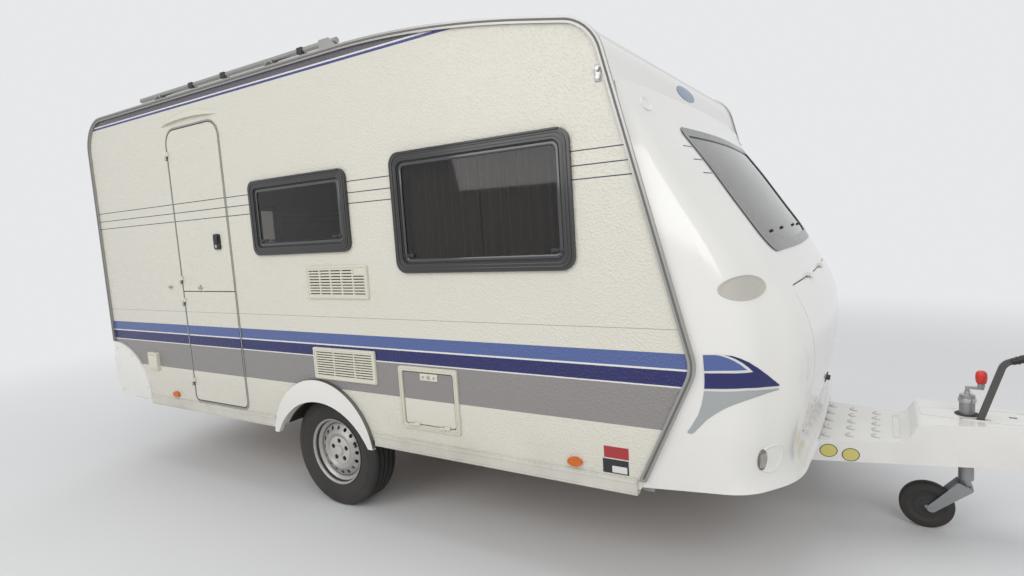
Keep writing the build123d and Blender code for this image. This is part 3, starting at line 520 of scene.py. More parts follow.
class Shape:
    """A mesh in the making; each step returns it."""

    def __init__(self):
        self.bm = bmesh.new()

    def soften(self, edges, offset, segments=2):
        """Rounds some edges."""
        return bmesh.ops.bevel(self.bm, geom=edges, offset=offset, segments=segments, affect="EDGES",
                               profile=0.5, material=-1)

    def block(self, stations, sides, heights, bevel=0.0, segments=2, place=at):
        """A box between two stations, two sides and two heights."""
        low, high = (place(*map(pick, (stations, sides, heights))) for pick in (min, max))
        made = bmesh.ops.create_cube(self.bm, size=1.0)["verts"]
        bmesh.ops.scale(self.bm, vec=high - low, verts=made)
        bmesh.ops.translate(self.bm, vec=(low + high) / 2, verts=made)
        if bevel:
            self.soften(list({edge for vert in made for edge in vert.link_edges}), bevel, segments)
        return self

    def rod(self, start, end, radius, steps=24, end_radius=None, bevel=0.0):
        """A rod or cone from one point to another."""
        made = bmesh.ops.create_cone(self.bm, cap_ends=True, segments=steps, radius1=radius,
                                     radius2=end_radius or radius, depth=(end - start).length)["verts"]
        if bevel:
            rims = [edge for edge in {e for v in made for e in v.link_edges}
                    if any(len(face.verts) > 4 for face in edge.link_faces)]
            made = list({v for face in self.soften(rims, bevel)["faces"] for v in face.verts} |
                        {v for v in made if v.is_valid})
        turn = (end - start).to_track_quat("Z", "Y").to_matrix()
        bmesh.ops.rotate(self.bm, verts=made, cent=(0, 0, 0), matrix=turn)
        bmesh.ops.translate(self.bm, vec=(start + end) / 2, verts=made)
        return self

    def stud(self, side, station, height, lifts, radius, steps=20, bevel=0.001):
        """A rod that stands on a side wall, between two lifts."""
        start, end = (at(station, face, height) for face in on_wall(side, *lifts))
        return self.rod(start, end, radius, steps, bevel=bevel)

    def turned(self, profile, centre, axis, steps=48, closed=True):
        """A profile of (radius, along) points spun about an axis through a centre."""
        axis = Vector(axis)
        across = axis.orthogonal().normalized()
        ring = [self.bm.verts.new(centre + across * radius + axis * along) for radius, along in profile]
        edges = [self.bm.edges.new(pair) for pair in zip(ring, ring[1:] + (ring[:1] if closed else []))]
        bmesh.ops.spin(self.bm, geom=ring + edges, cent=centre, axis=axis, dvec=(0, 0, 0),
                       angle=2 * math.pi, steps=steps, use_merge=True, use_duplicate=False)
        bmesh.ops.remove_doubles(self.bm, verts=self.bm.verts[:], dist=1e-6)
        return self

    def shell(self, thickness):
        """Gives the sheet so far a thickness."""
        bmesh.ops.recalc_face_normals(self.bm, faces=self.bm.faces[:])
        bmesh.ops.solidify(self.bm, geom=self.bm.faces[:], thickness=thickness)
        return self

    def thicken(self, faces, shift, bevel=0.0):
        """Gives a sheet of faces a thickness along a vector and softens its edges."""
        grown = bmesh.ops.extrude_face_region(self.bm, geom=faces)["geom"]
        bmesh.ops.translate(self.bm, vec=shift, verts=those(bmesh.types.BMVert, grown))
        if bevel:
            valid = [item for item in grown + faces if item.is_valid]
            own = {edge for face in those(bmesh.types.BMFace, valid) for edge in face.edges}
            self.soften([e for e in own if len(e.link_faces) == 2 and e.calc_face_angle() > 0.9], bevel)
        return self

    def band(self, outer, inner, depths, bevel=0.0, closed=True, place=at):
        """A band between two like chains of points, from one depth to another."""
        low, high = depths
        chain = [self.bm.verts.new(place(x, low, z)) for x, z in outer]
        edges = [self.bm.edges.new(pair) for pair in zip(chain, chain[1:] + (chain[:1] if closed else []))]
        targets = {vert.co.to_tuple(5): place(x, low, z) for vert, (x, z) in zip(chain, inner)}
        grown = bmesh.ops.extrude_edge_only(self.bm, edges=edges)["geom"]
        for vert in those(bmesh.types.BMVert, grown):
            vert.co = targets[vert.co.to_tuple(5)]
        shift = place(0.0, high, 0.0) - place(0.0, low, 0.0)
        return self.thicken(those(bmesh.types.BMFace, grown), shift, bevel)

    def film(self, outline, skin, direction, lift, cuts=6):
        """A thin film cut to an outline of points and laid on a surface; it is alone in its shape."""
        bm = self.bm
        patch = bm.faces.new([bm.verts.new(point) for point in outline])
        patch.normal_update()
        faces = bmesh.ops.triangulate(bm, faces=[patch])["faces"]
        edges = list({edge for face in faces for edge in face.edges})
        bmesh.ops.subdivide_edges(bm, edges=edges, cuts=cuts, use_grid_fill=True)
        lower = set(bm.verts)
        bmesh.ops.extrude_face_region(bm, geom=bm.faces[:])
        for vert in bm.verts:
            vert.co = dropped(skin, vert.co, direction, -0.0006 if vert in lower else lift)
        return self

    def boss(self, centre, across, rise, rows, skin, direction, steps=48):
        """An oval boss on a surface, with half sizes as vectors and rows of scale and lift."""
        bm = self.bm
        fine = [(0.1, rows[0][1])]
        for scale, lift in rows + [(0.1, rows[-1][1])]:
            last = fine[-1]
            parts = max(1, round(abs(last[0] - scale) / 0.12))
            fine += [(last[0] + (scale - last[0]) * k / parts, last[1] + (lift - last[1]) * k / parts)
                     for k in range(1, parts + 1)]
        ring = bmesh.ops.create_circle(bm, cap_ends=True, segments=steps, radius=1.0)["verts"]
        face = ring[0].link_faces[0]
        loops = [list(face.verts)]
        for number in range(1, len(fine)):
            grown = bmesh.ops.extrude_face_region(bm, geom=[face])["geom"]
            if number > 1:
                bmesh.ops.delete(bm, geom=[face], context="FACES_ONLY")
            face = those(bmesh.types.BMFace, grown)[0]
            loops.append(list(face.verts))
        crown = bmesh.ops.poke(bm, faces=[face])["verts"][0]
        for loop, (scale, lift) in zip(loops, fine):
            for vert in loop:
                spot = centre + across * (vert.co.x * scale) + rise * (vert.co.y * scale)
                vert.co = dropped(skin, spot, direction, lift)
        crown.co = dropped(skin, centre, direction, rows[-1][1])
        return self

    def crescent(self, middle):
        """A raised tread of round section, bent about a middle."""
        bm = self.bm
        section = bmesh.ops.create_circle(bm, cap_ends=True, segments=10, radius=0.0042)["verts"]
        bmesh.ops.rotate(bm, verts=section, cent=(0, 0, 0), matrix=Matrix.Rotation(math.pi / 2, 3, "X"))
        bmesh.ops.translate(bm, verts=section, vec=middle + Vector((0.023, 0.0, 0.0)))
        bmesh.ops.rotate(bm, verts=section, cent=middle, matrix=Matrix.Rotation(math.radians(105), 3, "Z"))
        edges = list({edge for vert in section for edge in vert.link_edges})
        part = section + edges + section[0].link_faces[:]
        bmesh.ops.spin(bm, geom=part, cent=middle, axis=(0, 0, 1), dvec=(0, 0, 0), angle=math.radians(190),
                       steps=14, use_merge=False, use_duplicate=False)

    def piece(self, name, finish, body="caravan", slot=None, smooth=35.0):
        """Makes the mesh a piece that rides on a body."""
        bmesh.ops.recalc_face_normals(self.bm, faces=self.bm.faces[:])
        mesh = bpy.data.meshes.new(name)
        self.bm.to_mesh(mesh)
        self.bm.free()
        mesh.materials.append(finishes[finish])
        mesh.polygons.foreach_set("use_smooth", [True] * len(mesh.polygons))
        mesh.set_sharp_from_angle(angle=math.radians(smooth))
        piece = bpy.data.objects.new(name, mesh)
        bpy.context.scene.collection.objects.link(piece)
        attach(piece, body)
        return piece


def bore(piece, cutter):
    """Cuts one shape out of a piece and keeps the result."""
    tool = bpy.data.objects.new("cutter", bpy.data.meshes.new("cutter"))
    bmesh.ops.recalc_face_normals(cutter.bm, faces=cutter.bm.faces[:])
    cutter.bm.to_mesh(tool.data)
    cutter.bm.free()
    bpy.context.scene.collection.objects.link(tool)
    cut = piece.modifiers.new("holes", "BOOLEAN")
    cut.object = tool
    cut.operation = "DIFFERENCE"
    cut.solver = "EXACT"
    bpy.context.view_layer.update()
    result = bpy.data.meshes.new_from_object(piece.evaluated_get(bpy.context.evaluated_depsgraph_get()))
    piece.modifiers.remove(cut)
    piece.data = result
    bpy.data.objects.remove(tool)


class CARAVAN_OT_finish_nodes(bpy.types.Operator):
    """Make the finishes and give each CAD node its own"""
    bl_idname = "caravan.finish_nodes"
    bl_label = "Finish the body"

    def execute(self, context):
        for make in (make_pebble_effect, make_weather_effect, make_grain_effect, make_weave_effect,
                     make_wood_effect):
            make()
        make_striped_finishes(context.scene.caravan_finish)
        make_plain_finishes(context.scene.caravan_finish)
        make_board_finish()
        make_curtain_finish()
        make_glass_finishes()
        for name, members in node_finishes.items():
            for member in members:
                data = nodes[member].data
                data.materials.clear()
                data.materials.append(finishes[name])
        return {"FINISHED"}


class CARAVAN_OT_curtains(bpy.types.Operator):
    """Hang the pleated curtains behind the large windows"""
    bl_idname = "caravan.curtains"
    bl_label = "Curtains"

    def execute(self, context):
        sizes = context.scene.caravan_fittings
        low, high = 1.330, 1.960
        middle = WALL - 0.042
        for side, side_name in reversed(SIDES):
            for number, (rear, front) in enumerate(((2.970, 3.415), (3.430, 3.874))):
                shape = Shape()
                bmesh.ops.create_grid(shape.bm, x_segments=160, y_segments=14, size=0.5)
                for vert in shape.bm.verts:
                    along, up = vert.co.x + 0.5, vert.co.y + 0.5
                    drift = 0.25 * math.sin(along * 9.0 + number * 2.0) * (1.0 - up)
                    fold = math.sin(2 * math.pi * sizes.pleats * along + drift + 0.6 * math.sin(along * 23.0))
                    vert.co = at(rear + along * (front - rear),
                                 side * (middle + sizes.pleat_depth * fold * 0.9), low + up * (high - low))
                piece = shape.piece(f"curtain_{side_name}_{number + 1}", "curtain_cloth", smooth=80.0)
                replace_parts(piece, "curtains")
        return {"FINISHED"}


class CARAVAN_OT_tyres(bpy.types.Operator):
    """Turn the road tyres with their tread grooves and sidewall ribs"""
    bl_idname = "caravan.tyres"
    bl_label = "Tyres"

    def execute(self, context):
        groove = context.scene.caravan_fittings.groove_depth
        crown, half = 0.322, 0.0918
        right_half = [(0.1835, 0.0665), (0.190, 0.0735), (0.197, 0.0745), (0.215, 0.0815), (0.232, 0.0875),
                      (0.250, 0.0908), (0.266, half), (0.268, half), (0.2695, half - 0.0012), (0.271, half),
                      (0.284, half - 0.0012), (0.298, half - 0.004), (0.309, half - 0.009),
                      (0.3165, half - 0.0155), (0.3200, half - 0.0220)]
        tread = []
        for centre in (0.052, 0.0175):
            tread += [(crown - 0.0006, centre + 0.0048), (crown - groove, centre + 0.0036),
                      (crown - groove, centre - 0.0036), (crown - 0.0002, centre - 0.0048)]
        left_half = [(radius, -along) for radius, along in reversed(right_half + tread)]
        profile = right_half + tread + left_half + [(0.179, -0.050), (0.176, 0.0), (0.179, 0.050)]
        for side, name in SIDES:
            shape = Shape().turned(profile, Vector((AXLE.x, side * AXLE.y, AXLE.z)), (0, side, 0), 96)
            piece = shape.piece("tyre_" + name + "_tread", "tyre_rubber", "wheel_" + name, smooth=30.0)
            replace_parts(piece, "tyre_" + name)
        return {"FINISHED"}


RIM_LIP = [(0.1955, 0.0785), (0.1945, 0.0800), (0.1925, 0.0795), (0.1900, 0.0755), (0.1850, 0.0735),
           (0.1835, 0.0700), (0.1835, 0.0560), (0.1780, 0.0500), (0.1640, 0.0440), (0.1610, 0.0400)]
RIM_BARREL = RIM_LIP + [(radius, -along) for radius, along in reversed(RIM_LIP)]
DISC_PROFILE = [(0.1600, 0.0180), (0.1585, 0.0260), (0.1560, 0.0330), (0.1510, 0.0385), (0.1370, 0.0430),
                (0.1230, 0.0500), (0.1130, 0.0585), (0.1050, 0.0620), (0.0980, 0.0605), (0.0920, 0.0545),
                (0.0870, 0.0490), (0.0820, 0.0480), (0.0300, 0.0480)]
DRUM_PROFILE = [(0.0215, -0.060), (0.118, -0.060), (0.122, -0.056), (0.122, 0.020), (0.112, 0.030),
                (0.0215, 0.030)]
HUB_PROFILE = [(0.0, 0.0645), (0.020, 0.0645), (0.026, 0.0625), (0.0285, 0.0580), (0.0300, 0.0510),
               (0.034, 0.0502), (0.078, 0.0502), (0.0800, 0.0495), (0.0805, 0.0478), (0.0, 0.0478)]
# Profile of the black ring about each wheel bolt; it paints the shade of the bolt's hole
BOLT_SHADE_RING = [(0.0095, 0.0), (0.0140, 0.0), (0.0140, 0.0014), (0.0128, 0.0020), (0.0110, 0.0012),
             (0.0095, 0.0008)]


class CARAVAN_OT_wheel_fittings(bpy.types.Operator):
    """Turn the steel wheels with their holes, hub plates, bolts and drums"""
    bl_idname = "caravan.wheel_fittings"
    bl_label = "Steel wheels"

    def execute(self, context):
        circle = context.scene.caravan_fittings.bolt_circle
        for side, name in SIDES:
            hub = Vector((AXLE.x, side * AXLE.y, AXLE.z))
            outward = Vector((0, side, 0))
            body = "wheel_" + name

            def spot(radius, angle, depth):
                return hub + Vector((radius * math.cos(angle), side * depth, radius * math.sin(angle)))

            barrel = Shape().turned(RIM_BARREL, hub, outward, 96, closed=False).shell(0.0030)
            piece = barrel.piece("rim_barrel_" + name, "wheel_paint", body, smooth=40.0)
            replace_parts(piece, "rim_" + name)
            disc = Shape().turned(DISC_PROFILE, hub, outward, 96, closed=False).shell(0.0035)
            piece = disc.piece("rim_disc_" + name, "wheel_paint", body, smooth=40.0)
            holes = Shape()
            for turn in range(16):
                foot = spot(0.1345, 2 * math.pi * turn / 16, 0.02)
                holes.rod(foot, foot + outward * 0.05, 0.0115, 20)
            bore(piece, holes)
            Shape().turned(DRUM_PROFILE, hub, outward).piece("brake_drum_" + name, "dark_steel", body)
            plate = Shape().turned(HUB_PROFILE, hub, outward, 64, closed=False)
            plate.piece("hub_plate_" + name, "hub_paint", body)
            # Black rings about the bolts and black bolt heads: painted shade inside the bolt holes, on real
            # bolts
            socket_shade, bolts = Shape(), Shape()
            for turn in range(5):
                foot = spot(circle, 2 * math.pi * turn / 5 + 0.31, 0.0495)
                socket_shade.turned(BOLT_SHADE_RING, foot, outward, 24)
                bolts.rod(foot, foot + outward * 0.0035, 0.0100)
                bolts.rod(foot + outward * 0.0030, foot + outward * 0.0075, 0.0082, 6, bevel=0.0008)
            socket_shade.piece("bolt_hole_shade_" + name, "blank_black", body)
            bolts.piece("wheel_bolts_" + name, "blank_black", body)
            foot = hub + Vector((0.149, side * 0.036, 0.045))
            cap = foot + outward * 0.024
            valve = Shape().rod(foot, cap, 0.0045, 14)
            valve.rod(cap, cap + outward * 0.010, 0.0058, 14, bevel=0.001)
            valve.piece("valve_" + name, "black_plastic", body)
        return {"FINISHED"}


# Windows: side or 0 for the rear, opening as rear, front, bottom and top, corner radius
WINDOWS = [
    (-1, (2.938, 3.906, 1.364, 1.944), 0.060),
    (-1, (1.829, 2.628, 1.482, 1.912), 0.050),
    (1, (2.938, 3.906, 1.364, 1.944), 0.060),
    (1, (0.560, 1.360, 1.482, 1.912), 0.050),
    (0, (-0.450, 0.450, 1.482, 1.912), 0.050),
]
WINDOW_RIM = 0.044
# Rings round each window: piece, finish, and each ring's inset, width, lifts and bevel
WINDOW_RINGS = [
    ("window_bead", "charcoal_moulding", [(0.013, 0.008, (0.0150, 0.0190), 0.0014),
                                          (WINDOW_RIM - 0.016, 0.007, (0.0150, 0.0175), 0.0010)]),
    ("window_seal", "rubber_seal", [(WINDOW_RIM - 0.002, 0.009, (0.0030, 0.0100), 0.0016)]),
    ("pane_edge", "pane_edge", [(WINDOW_RIM + 0.008, 0.016, (0.0032, 0.0088), 0.0026)]),
]


class CARAVAN_OT_window_fittings(bpy.types.Operator):
    """Add beads, seals, hinge rails, bent pane edges and toggles to the windows"""
    bl_idname = "caravan.window_fittings"
    bl_label = "Window fittings"

    def execute(self, context):
        for number, (side, opening, radius) in enumerate(WINDOWS, start=1):
            rear, front, bottom, top = opening
            place = at if side else behind
            for name, finish, rings in WINDOW_RINGS:
                shape = Shape()
                for inset, width, lifts, bevel in rings:
                    deep = inset + width
                    shape.band(rounded(opening, inset, max(radius - inset * 0.55, 0.012), 10),
                               rounded(opening, deep, max(radius - deep * 0.55, 0.008), 10),
                               on_wall(side, *lifts), bevel, place=place)
                shape.piece(f"{name}_{number}", finish)
            toggles = Shape()
            height = bottom + WINDOW_RIM + 0.040
            inner = 0.12 if front - rear < 0.95 and side else 0.08
            for share in (inner, 1.0 - inner):
                middle = rear + share * (front - rear)
                toggles.block(around(middle, 0.034), on_wall(side, 0.0042, 0.0125), around(height, 0.009),
                              0.003, place=place)
                if side:
                    toggles.stud(side, middle, height, (0.0115, 0.0150), 0.008)
            toggles.piece(f"window_toggles_{number}", "black_plastic")
            rail = Shape().block((rear + 0.045, front - 0.045), on_wall(side, 0.0155, 0.0210),
                                 (top - 0.0115, top - 0.0020), 0.002, place=place)
            rail.piece(f"window_hinge_rail_{number}", "charcoal_moulding")
        return {"FINISHED"}


# Openings on the right wall as rear, front, bottom and top
UPPER_VENT = (2.254, 2.724, 1.232, 1.411)
LOWER_VENT = (2.250, 2.724, 0.781, 0.959)
FLAP = (2.880, 3.250, 0.576, 0.897)


class CARAVAN_OT_vent_fittings(bpy.types.Operator):
    """Add the bars that part the vents' slots"""
    bl_idname = "caravan.vent_fittings"
    bl_label = "Vent fittings"

    def execute(self, context):
        columns = context.scene.caravan_fittings.vent_columns
        depths = on_wall(-1, 0.0096, -0.001)
        rear, front, bottom, top = UPPER_VENT
        pitch = (front - rear - 0.048) / columns
        uprights = [(rear + 0.024 + column * pitch, 0.004, bottom, top) for column in range(1, columns)]
        bars = Shape().block((front - 0.098, front - 0.020), depths, (top - 0.052, top - 0.016), 0.003)
        rear, front, bottom, top = LOWER_VENT
        uprights += [(rear + share * (front - rear), 0.003, bottom, top) for share in (0.34, 0.67)]
        for middle, half, bottom, top in uprights:
            bars.block(around(middle, half), depths, (bottom + 0.018, top - 0.018), 0.001, 1)
        bars.piece("vent_bars", "cream_plastic")
        rims = Shape()
        for vent in (UPPER_VENT, LOWER_VENT):
            rims.band(rounded(vent, 0.004, 0.010), rounded(vent, 0.013, 0.007), on_wall(-1, 0.0085, 0.0125),
                      0.0014)
        rims.piece("vent_rims", "cream_plastic")
        return {"FINISHED"}


class CARAVAN_OT_door_fittings(bpy.types.Operator):
    """Add the door handle's paddle and lock"""
    bl_idname = "caravan.door_fittings"
    bl_label = "Door fittings"

    def execute(self, context):
        station, height = 1.466, 1.579
        paddle = Shape().block(around(station, 0.021), on_wall(-1, 0.0246, 0.015),
                               (height - 0.012, height + 0.040), 0.005, 3)
        paddle.piece("handle_paddle", "black_plastic", "door_upper")
        lock = Shape().stud(-1, station, height - 0.028, (0.015, 0.022), 0.011, 28, 0.0)
        lock.piece("handle_lock", "bare_steel", "door_upper", "black_plastic")
        return {"FINISHED"}


class CARAVAN_OT_flap_fittings(bpy.types.Operator):
    """Add the raised lips and the lock plate of the service flap"""
    bl_idname = "caravan.flap_fittings"
    bl_label = "Flap fittings"

    def execute(self, context):
        lips = Shape()
        for inset in (0.002, 0.0155):
            lips.band(rounded(FLAP, inset, 0.013), rounded(FLAP, inset + 0.006, 0.009),
                      on_wall(-1, 0.0075, 0.0115), 0.0012)
        lips.piece("flap_lips", "cream_plastic")
        rear, front, _, top = FLAP
        middle = (rear + front) / 2 + 0.01
        plate = Shape().block(around(middle, 0.055), on_wall(-1, 0.0085, 0.0035), (top - 0.066, top - 0.030),
                              0.004, 3)
        plate.piece("flap_lock_plate", "cream_plastic", "service_flap")
        knobs = Shape()
        for shift, radius in ((-0.034, 0.006), (0.0, 0.010), (0.034, 0.006)):
            knobs.stud(-1, middle + shift, top - 0.048, (0.008, 0.0115), radius, bevel=0.0)
        knobs.piece("flap_lock", "bare_steel", "service_flap", "cream_plastic")
        return {"FINISHED"}


class CARAVAN_OT_door_hood(bpy.types.Operator):
    """Shape the crescent hood over the door"""
    bl_idname = "caravan.door_hood"
    bl_label = "Door hood"

    def execute(self, context):
        shape = Shape()
        bmesh.ops.create_grid(shape.bm, x_segments=40, y_segments=8, size=0.5)
        feet = {}
        for vert in shape.bm.verts:
            along, up = vert.co.x + 0.5, vert.co.y + 0.5
            arch = 4.0 * along * (1.0 - along)
            low = 2.337 + 0.018 * arch
            high = 2.341 + 0.062 * arch ** 0.8
            proud = 0.0025 + 0.0195 * (1.0 - up ** 2.2) * min(1.0, arch * 1.6)
            face, foot = (at(0.983 + 0.608 * along, side, low + (high - low) * up)
                          for side in on_wall(-1, proud, -0.001))
            vert.co = face
            feet[vert.co.to_tuple(5)] = foot
        grown = bmesh.ops.extrude_face_region(shape.bm, geom=shape.bm.faces[:])["geom"]
        for vert in those(bmesh.types.BMVert, grown):
            vert.co = feet[vert.co.to_tuple(5)]
        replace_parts(shape.piece("hood_crescent", "cream_plastic", smooth=40.0), "door_hood")
        return {"FINISHED"}


# Outlines in station, height and corner radius
BODY_OUTLINE = [(0.200, 0.470, 0.0), (4.137, 0.470, 0.0), (4.374, 0.980, 0.150), (4.028, 2.329, 0.200),
                (3.186, 2.505, 5.600), (0.0, 2.505, 0.220), (0.0, 0.800, 0.060)]
DOOR_OUTLINE = [(1.026, 0.535, 0.030), (1.577, 0.535, 0.030), (1.577, 2.302, 0.090), (1.026, 2.302, 0.090)]
# Flat patches on the right wall: name, finish, stations, heights, lifts
PATCHES = [
    ("patch_red", "blank_red", (3.984, 4.092), (0.5855, 0.6345), (0.0009, -0.001)),
    ("patch_black", "blank_black", (3.977, 4.090), (0.5200, 0.5800), (0.0009, -0.001)),
    ("patch_white", "blank_white", (4.018, 4.083), (0.5250, 0.5530), (0.0014, -0.001)),
    ("arch_label", "blank_black", (2.137, 2.163), (0.6330, 0.6470), (0.02495, 0.0239)),
]


class CARAVAN_OT_body_trim(bpy.types.Operator):
    """Add rail inlays, sill ribs, dark strips of painted shade on the arches' edges, screws, seals, catches
    and blank patches
    """
    bl_idname = "caravan.body_trim"
    bl_label = "Body trim"

    def execute(self, context):
        # The rail runs over the roof, without the outline's two bottom corners and its last arc
        corner_steps = 16
        over_roof = filleted(BODY_OUTLINE, corner_steps)[2:-(corner_steps + 1)]
        chain = [(4.1602, 0.520)] + over_roof + [(0.0, 0.892)]
        arch_middle = (AXLE_STATION, 0.365)
        for side, name in SIDES:
            inlay = Shape().band(shifted(chain, -0.0015, False), shifted(chain, -0.0105, False),
                                 on_wall(side, 0.0115, 0.0132), 0.0005, closed=False)
            inlay.piece("rail_inlay_" + name, "rail_inlay")
            ribs = Shape()
            for stations in ((0.456, 1.848), (2.676, 4.121)):
                for heights in ((0.4955, 0.5080), (0.4500, 0.4570)):
                    ribs.block(stations, on_wall(side, 0.0095, 0.0135), heights, 0.0018)
            ribs.piece("sill_ribs_" + name, "sill_plastic")
            # A dark strip over each arch's edge face, widening towards the front: it paints the edge face's
            # shade and dark reflection
            outer, inner = [], []
            for step in range(49):
                angle = math.radians(128.0 - 119.0 * step / 48)
                width = 0.0012 + 0.0052 * min(1.0, step / 20)
                outer += arc(arch_middle, [0.4085], [angle])
                inner += arc(arch_middle, [0.4085 - width], [angle])
            trim = Shape().band(outer, inner, on_wall(side, 0.001, 0.0243), 0.0008, closed=False)
            trim.piece("arch_edge_shade_" + name, "arch_edge_shade")
            screws = Shape()
            for station, height in ((0.045, 0.835), (0.250, 0.790), (0.415, 0.560), (0.060, 0.520)):
                screws.stud(side, station, height, (0.0118, 0.0148), 0.0075)
            screws.piece("cover_screws_" + name, "cream_plastic")
            rims = Shape()
            turns = [2 * math.pi * step / 40 for step in range(40)]
            for station in (0.782, 3.851):
                rims.band(arc((station, 0.546), (0.0335, 0.0195), turns),
                          arc((station, 0.546), (0.0275, 0.0140), turns),
                          on_wall(side, 0.0135, 0.0160), 0.0008)
            rims.piece("marker_rims_" + name, "orange_lens")
        bracket = Shape().block((4.026, 4.052), on_wall(-1, 0.0035, -0.0005), (2.088, 2.152), 0.003)
        bracket.stud(-1, 4.039, 2.136, (0.003, 0.014), 0.010).stud(-1, 4.039, 2.104, (0.003, 0.009), 0.011)
        bracket.piece("awning_bracket", "bare_steel")
        door = filleted(DOOR_OUTLINE, 12)
        seal = Shape().band(shifted(door, 0.0062), shifted(door, 0.0018), on_wall(-1, -0.012, 0.0012))
        seal.piece("door_seal", "rubber_seal")
        catch = Shape().block((1.208, 1.240), on_wall(-1, 0.016, 0.0035), (1.283, 1.297), 0.003)
        foot = at(1.224, -(WALL + 0.009), 1.297)
        catch.rod(foot, foot + RISE * 0.015, 0.0045, 16, bevel=0.001)
        catch.piece("door_catch", "bare_steel", "door_upper")
        hook = Shape().block((0.848, 0.882), on_wall(-1, 0.012, -0.0005), (1.291, 1.303), 0.003)
        hook.block((0.876, 0.884), on_wall(-1, 0.020, 0.002), (1.288, 1.306), 0.002)
        hook.piece("catch_hook", "bare_steel")
        for name, finish, stations, heights, lifts in PATCHES:
            Shape().block(stations, on_wall(-1, *lifts), heights, 0.0002, 1).piece(name, finish)
        inlet = Shape().block((0.492, 0.598), on_wall(-1, 0.0248, 0.0190), (0.712, 0.808), 0.003, 3)
        inlet.rod(at(0.498, -(WALL + 0.021), 0.817), at(0.592, -(WALL + 0.021), 0.817), 0.0035, 14)
        inlet.piece("inlet_lid", "cream_plastic")
        return {"FINISHED"}


# Films on the nose's side: label, finish, lift, outline in station and height
NOSE_FILMS = [
    ("edge", "blank_white", 0.0008,
     [(4.3933, 1.0395), (4.4387, 1.0384), (4.4652, 1.0351), (4.4921, 1.0300), (4.5000, 1.0250),
      (4.5250, 1.0080), (4.5650, 0.9700), (4.6331, 0.8990), (4.6331, 0.8944), (4.6320, 0.8870),
      (4.5855, 0.8925), (4.5355, 0.8969), (4.4627, 0.8964), (4.3932, 0.8987)]),
    ("light", "decal_upper", 0.0014,
     [(4.3945, 1.0353), (4.4373, 1.0343), (4.4518, 1.0313), (4.4739, 1.0229), (4.4954, 1.0118),
      (4.5168, 0.9966), (4.5390, 0.9737), (4.5001, 0.9737), (4.3975, 0.9748), (4.3960, 1.0069)]),
    ("dark", "decal_middle", 0.0014,
     [(4.4664, 1.0332), (4.4921, 1.0296), (4.5172, 1.0195), (4.5448, 1.0026), (4.5713, 0.9777),
      (4.5967, 0.9468), (4.6185, 0.9171), (4.6320, 0.8987), (4.6313, 0.8933), (4.5857, 0.8998),
      (4.5356, 0.9045), (4.4629, 0.9040), (4.3952, 0.9056), (4.3972, 0.9357), (4.3976, 0.9656),
      (4.5018, 0.9634), (4.5372, 0.9632), (4.5569, 0.9644), (4.5444, 0.9815), (4.5239, 1.0022),
      (4.5030, 1.0172), (4.4812, 1.0280)]),
    ("tail", "decal_lower", 0.0014,
     [(4.3938, 0.8961), (4.4625, 0.8931), (4.5354, 0.8948), (4.5854, 0.8900), (4.6304, 0.8835),
      (4.6303, 0.8780), (4.5948, 0.8732), (4.5619, 0.8655), (4.5268, 0.8546), (4.4903, 0.8407),
      (4.4598, 0.8253), (4.4289, 0.8049), (4.3969, 0.7795), (4.3677, 0.7466), (4.3488, 0.7252),
      (4.3385, 0.7202), (4.3262, 0.7242), (4.3265, 0.7288), (4.3448, 0.7575), (4.3670, 0.7969),
      (4.3834, 0.8429), (4.3908, 0.8782)]),
]
# Ovals on the nose's side: name, finish, middle, half sizes, rows of scale and lift, steps, smoothing angle
LAMP = (4.5700, 0.962, 0.603)
NOSE_OVALS = [
    ("nose_oval", "oval_plate", (4.5273, 0.9925, 1.2741), (0.108, 0.046),
     [(1.0, -0.002), (1.0, 0.0022), (0.975, 0.0034), (0.94, 0.0030), (0.90, 0.0010),
      (0.5, 0.0012)], 64, 40.0),
    ("lamp_scoop", "gloss_moulding", (4.600, 0.925, 0.598), (0.066, 0.060),
     [(1.0, -0.002), (1.0, 0.0015), (0.96, 0.0042), (0.90, 0.0048), (0.84, 0.0030), (0.78, 0.0008),
      (0.4, 0.0006)], 64, 50.0),
    ("lamp_lens", "ribbed_lens", LAMP, (0.021, 0.044),
     [(1.0, -0.001), (1.0, 0.0050), (0.93, 0.0074), (0.80, 0.0086), (0.4, 0.0092)], 40, 50.0),
]


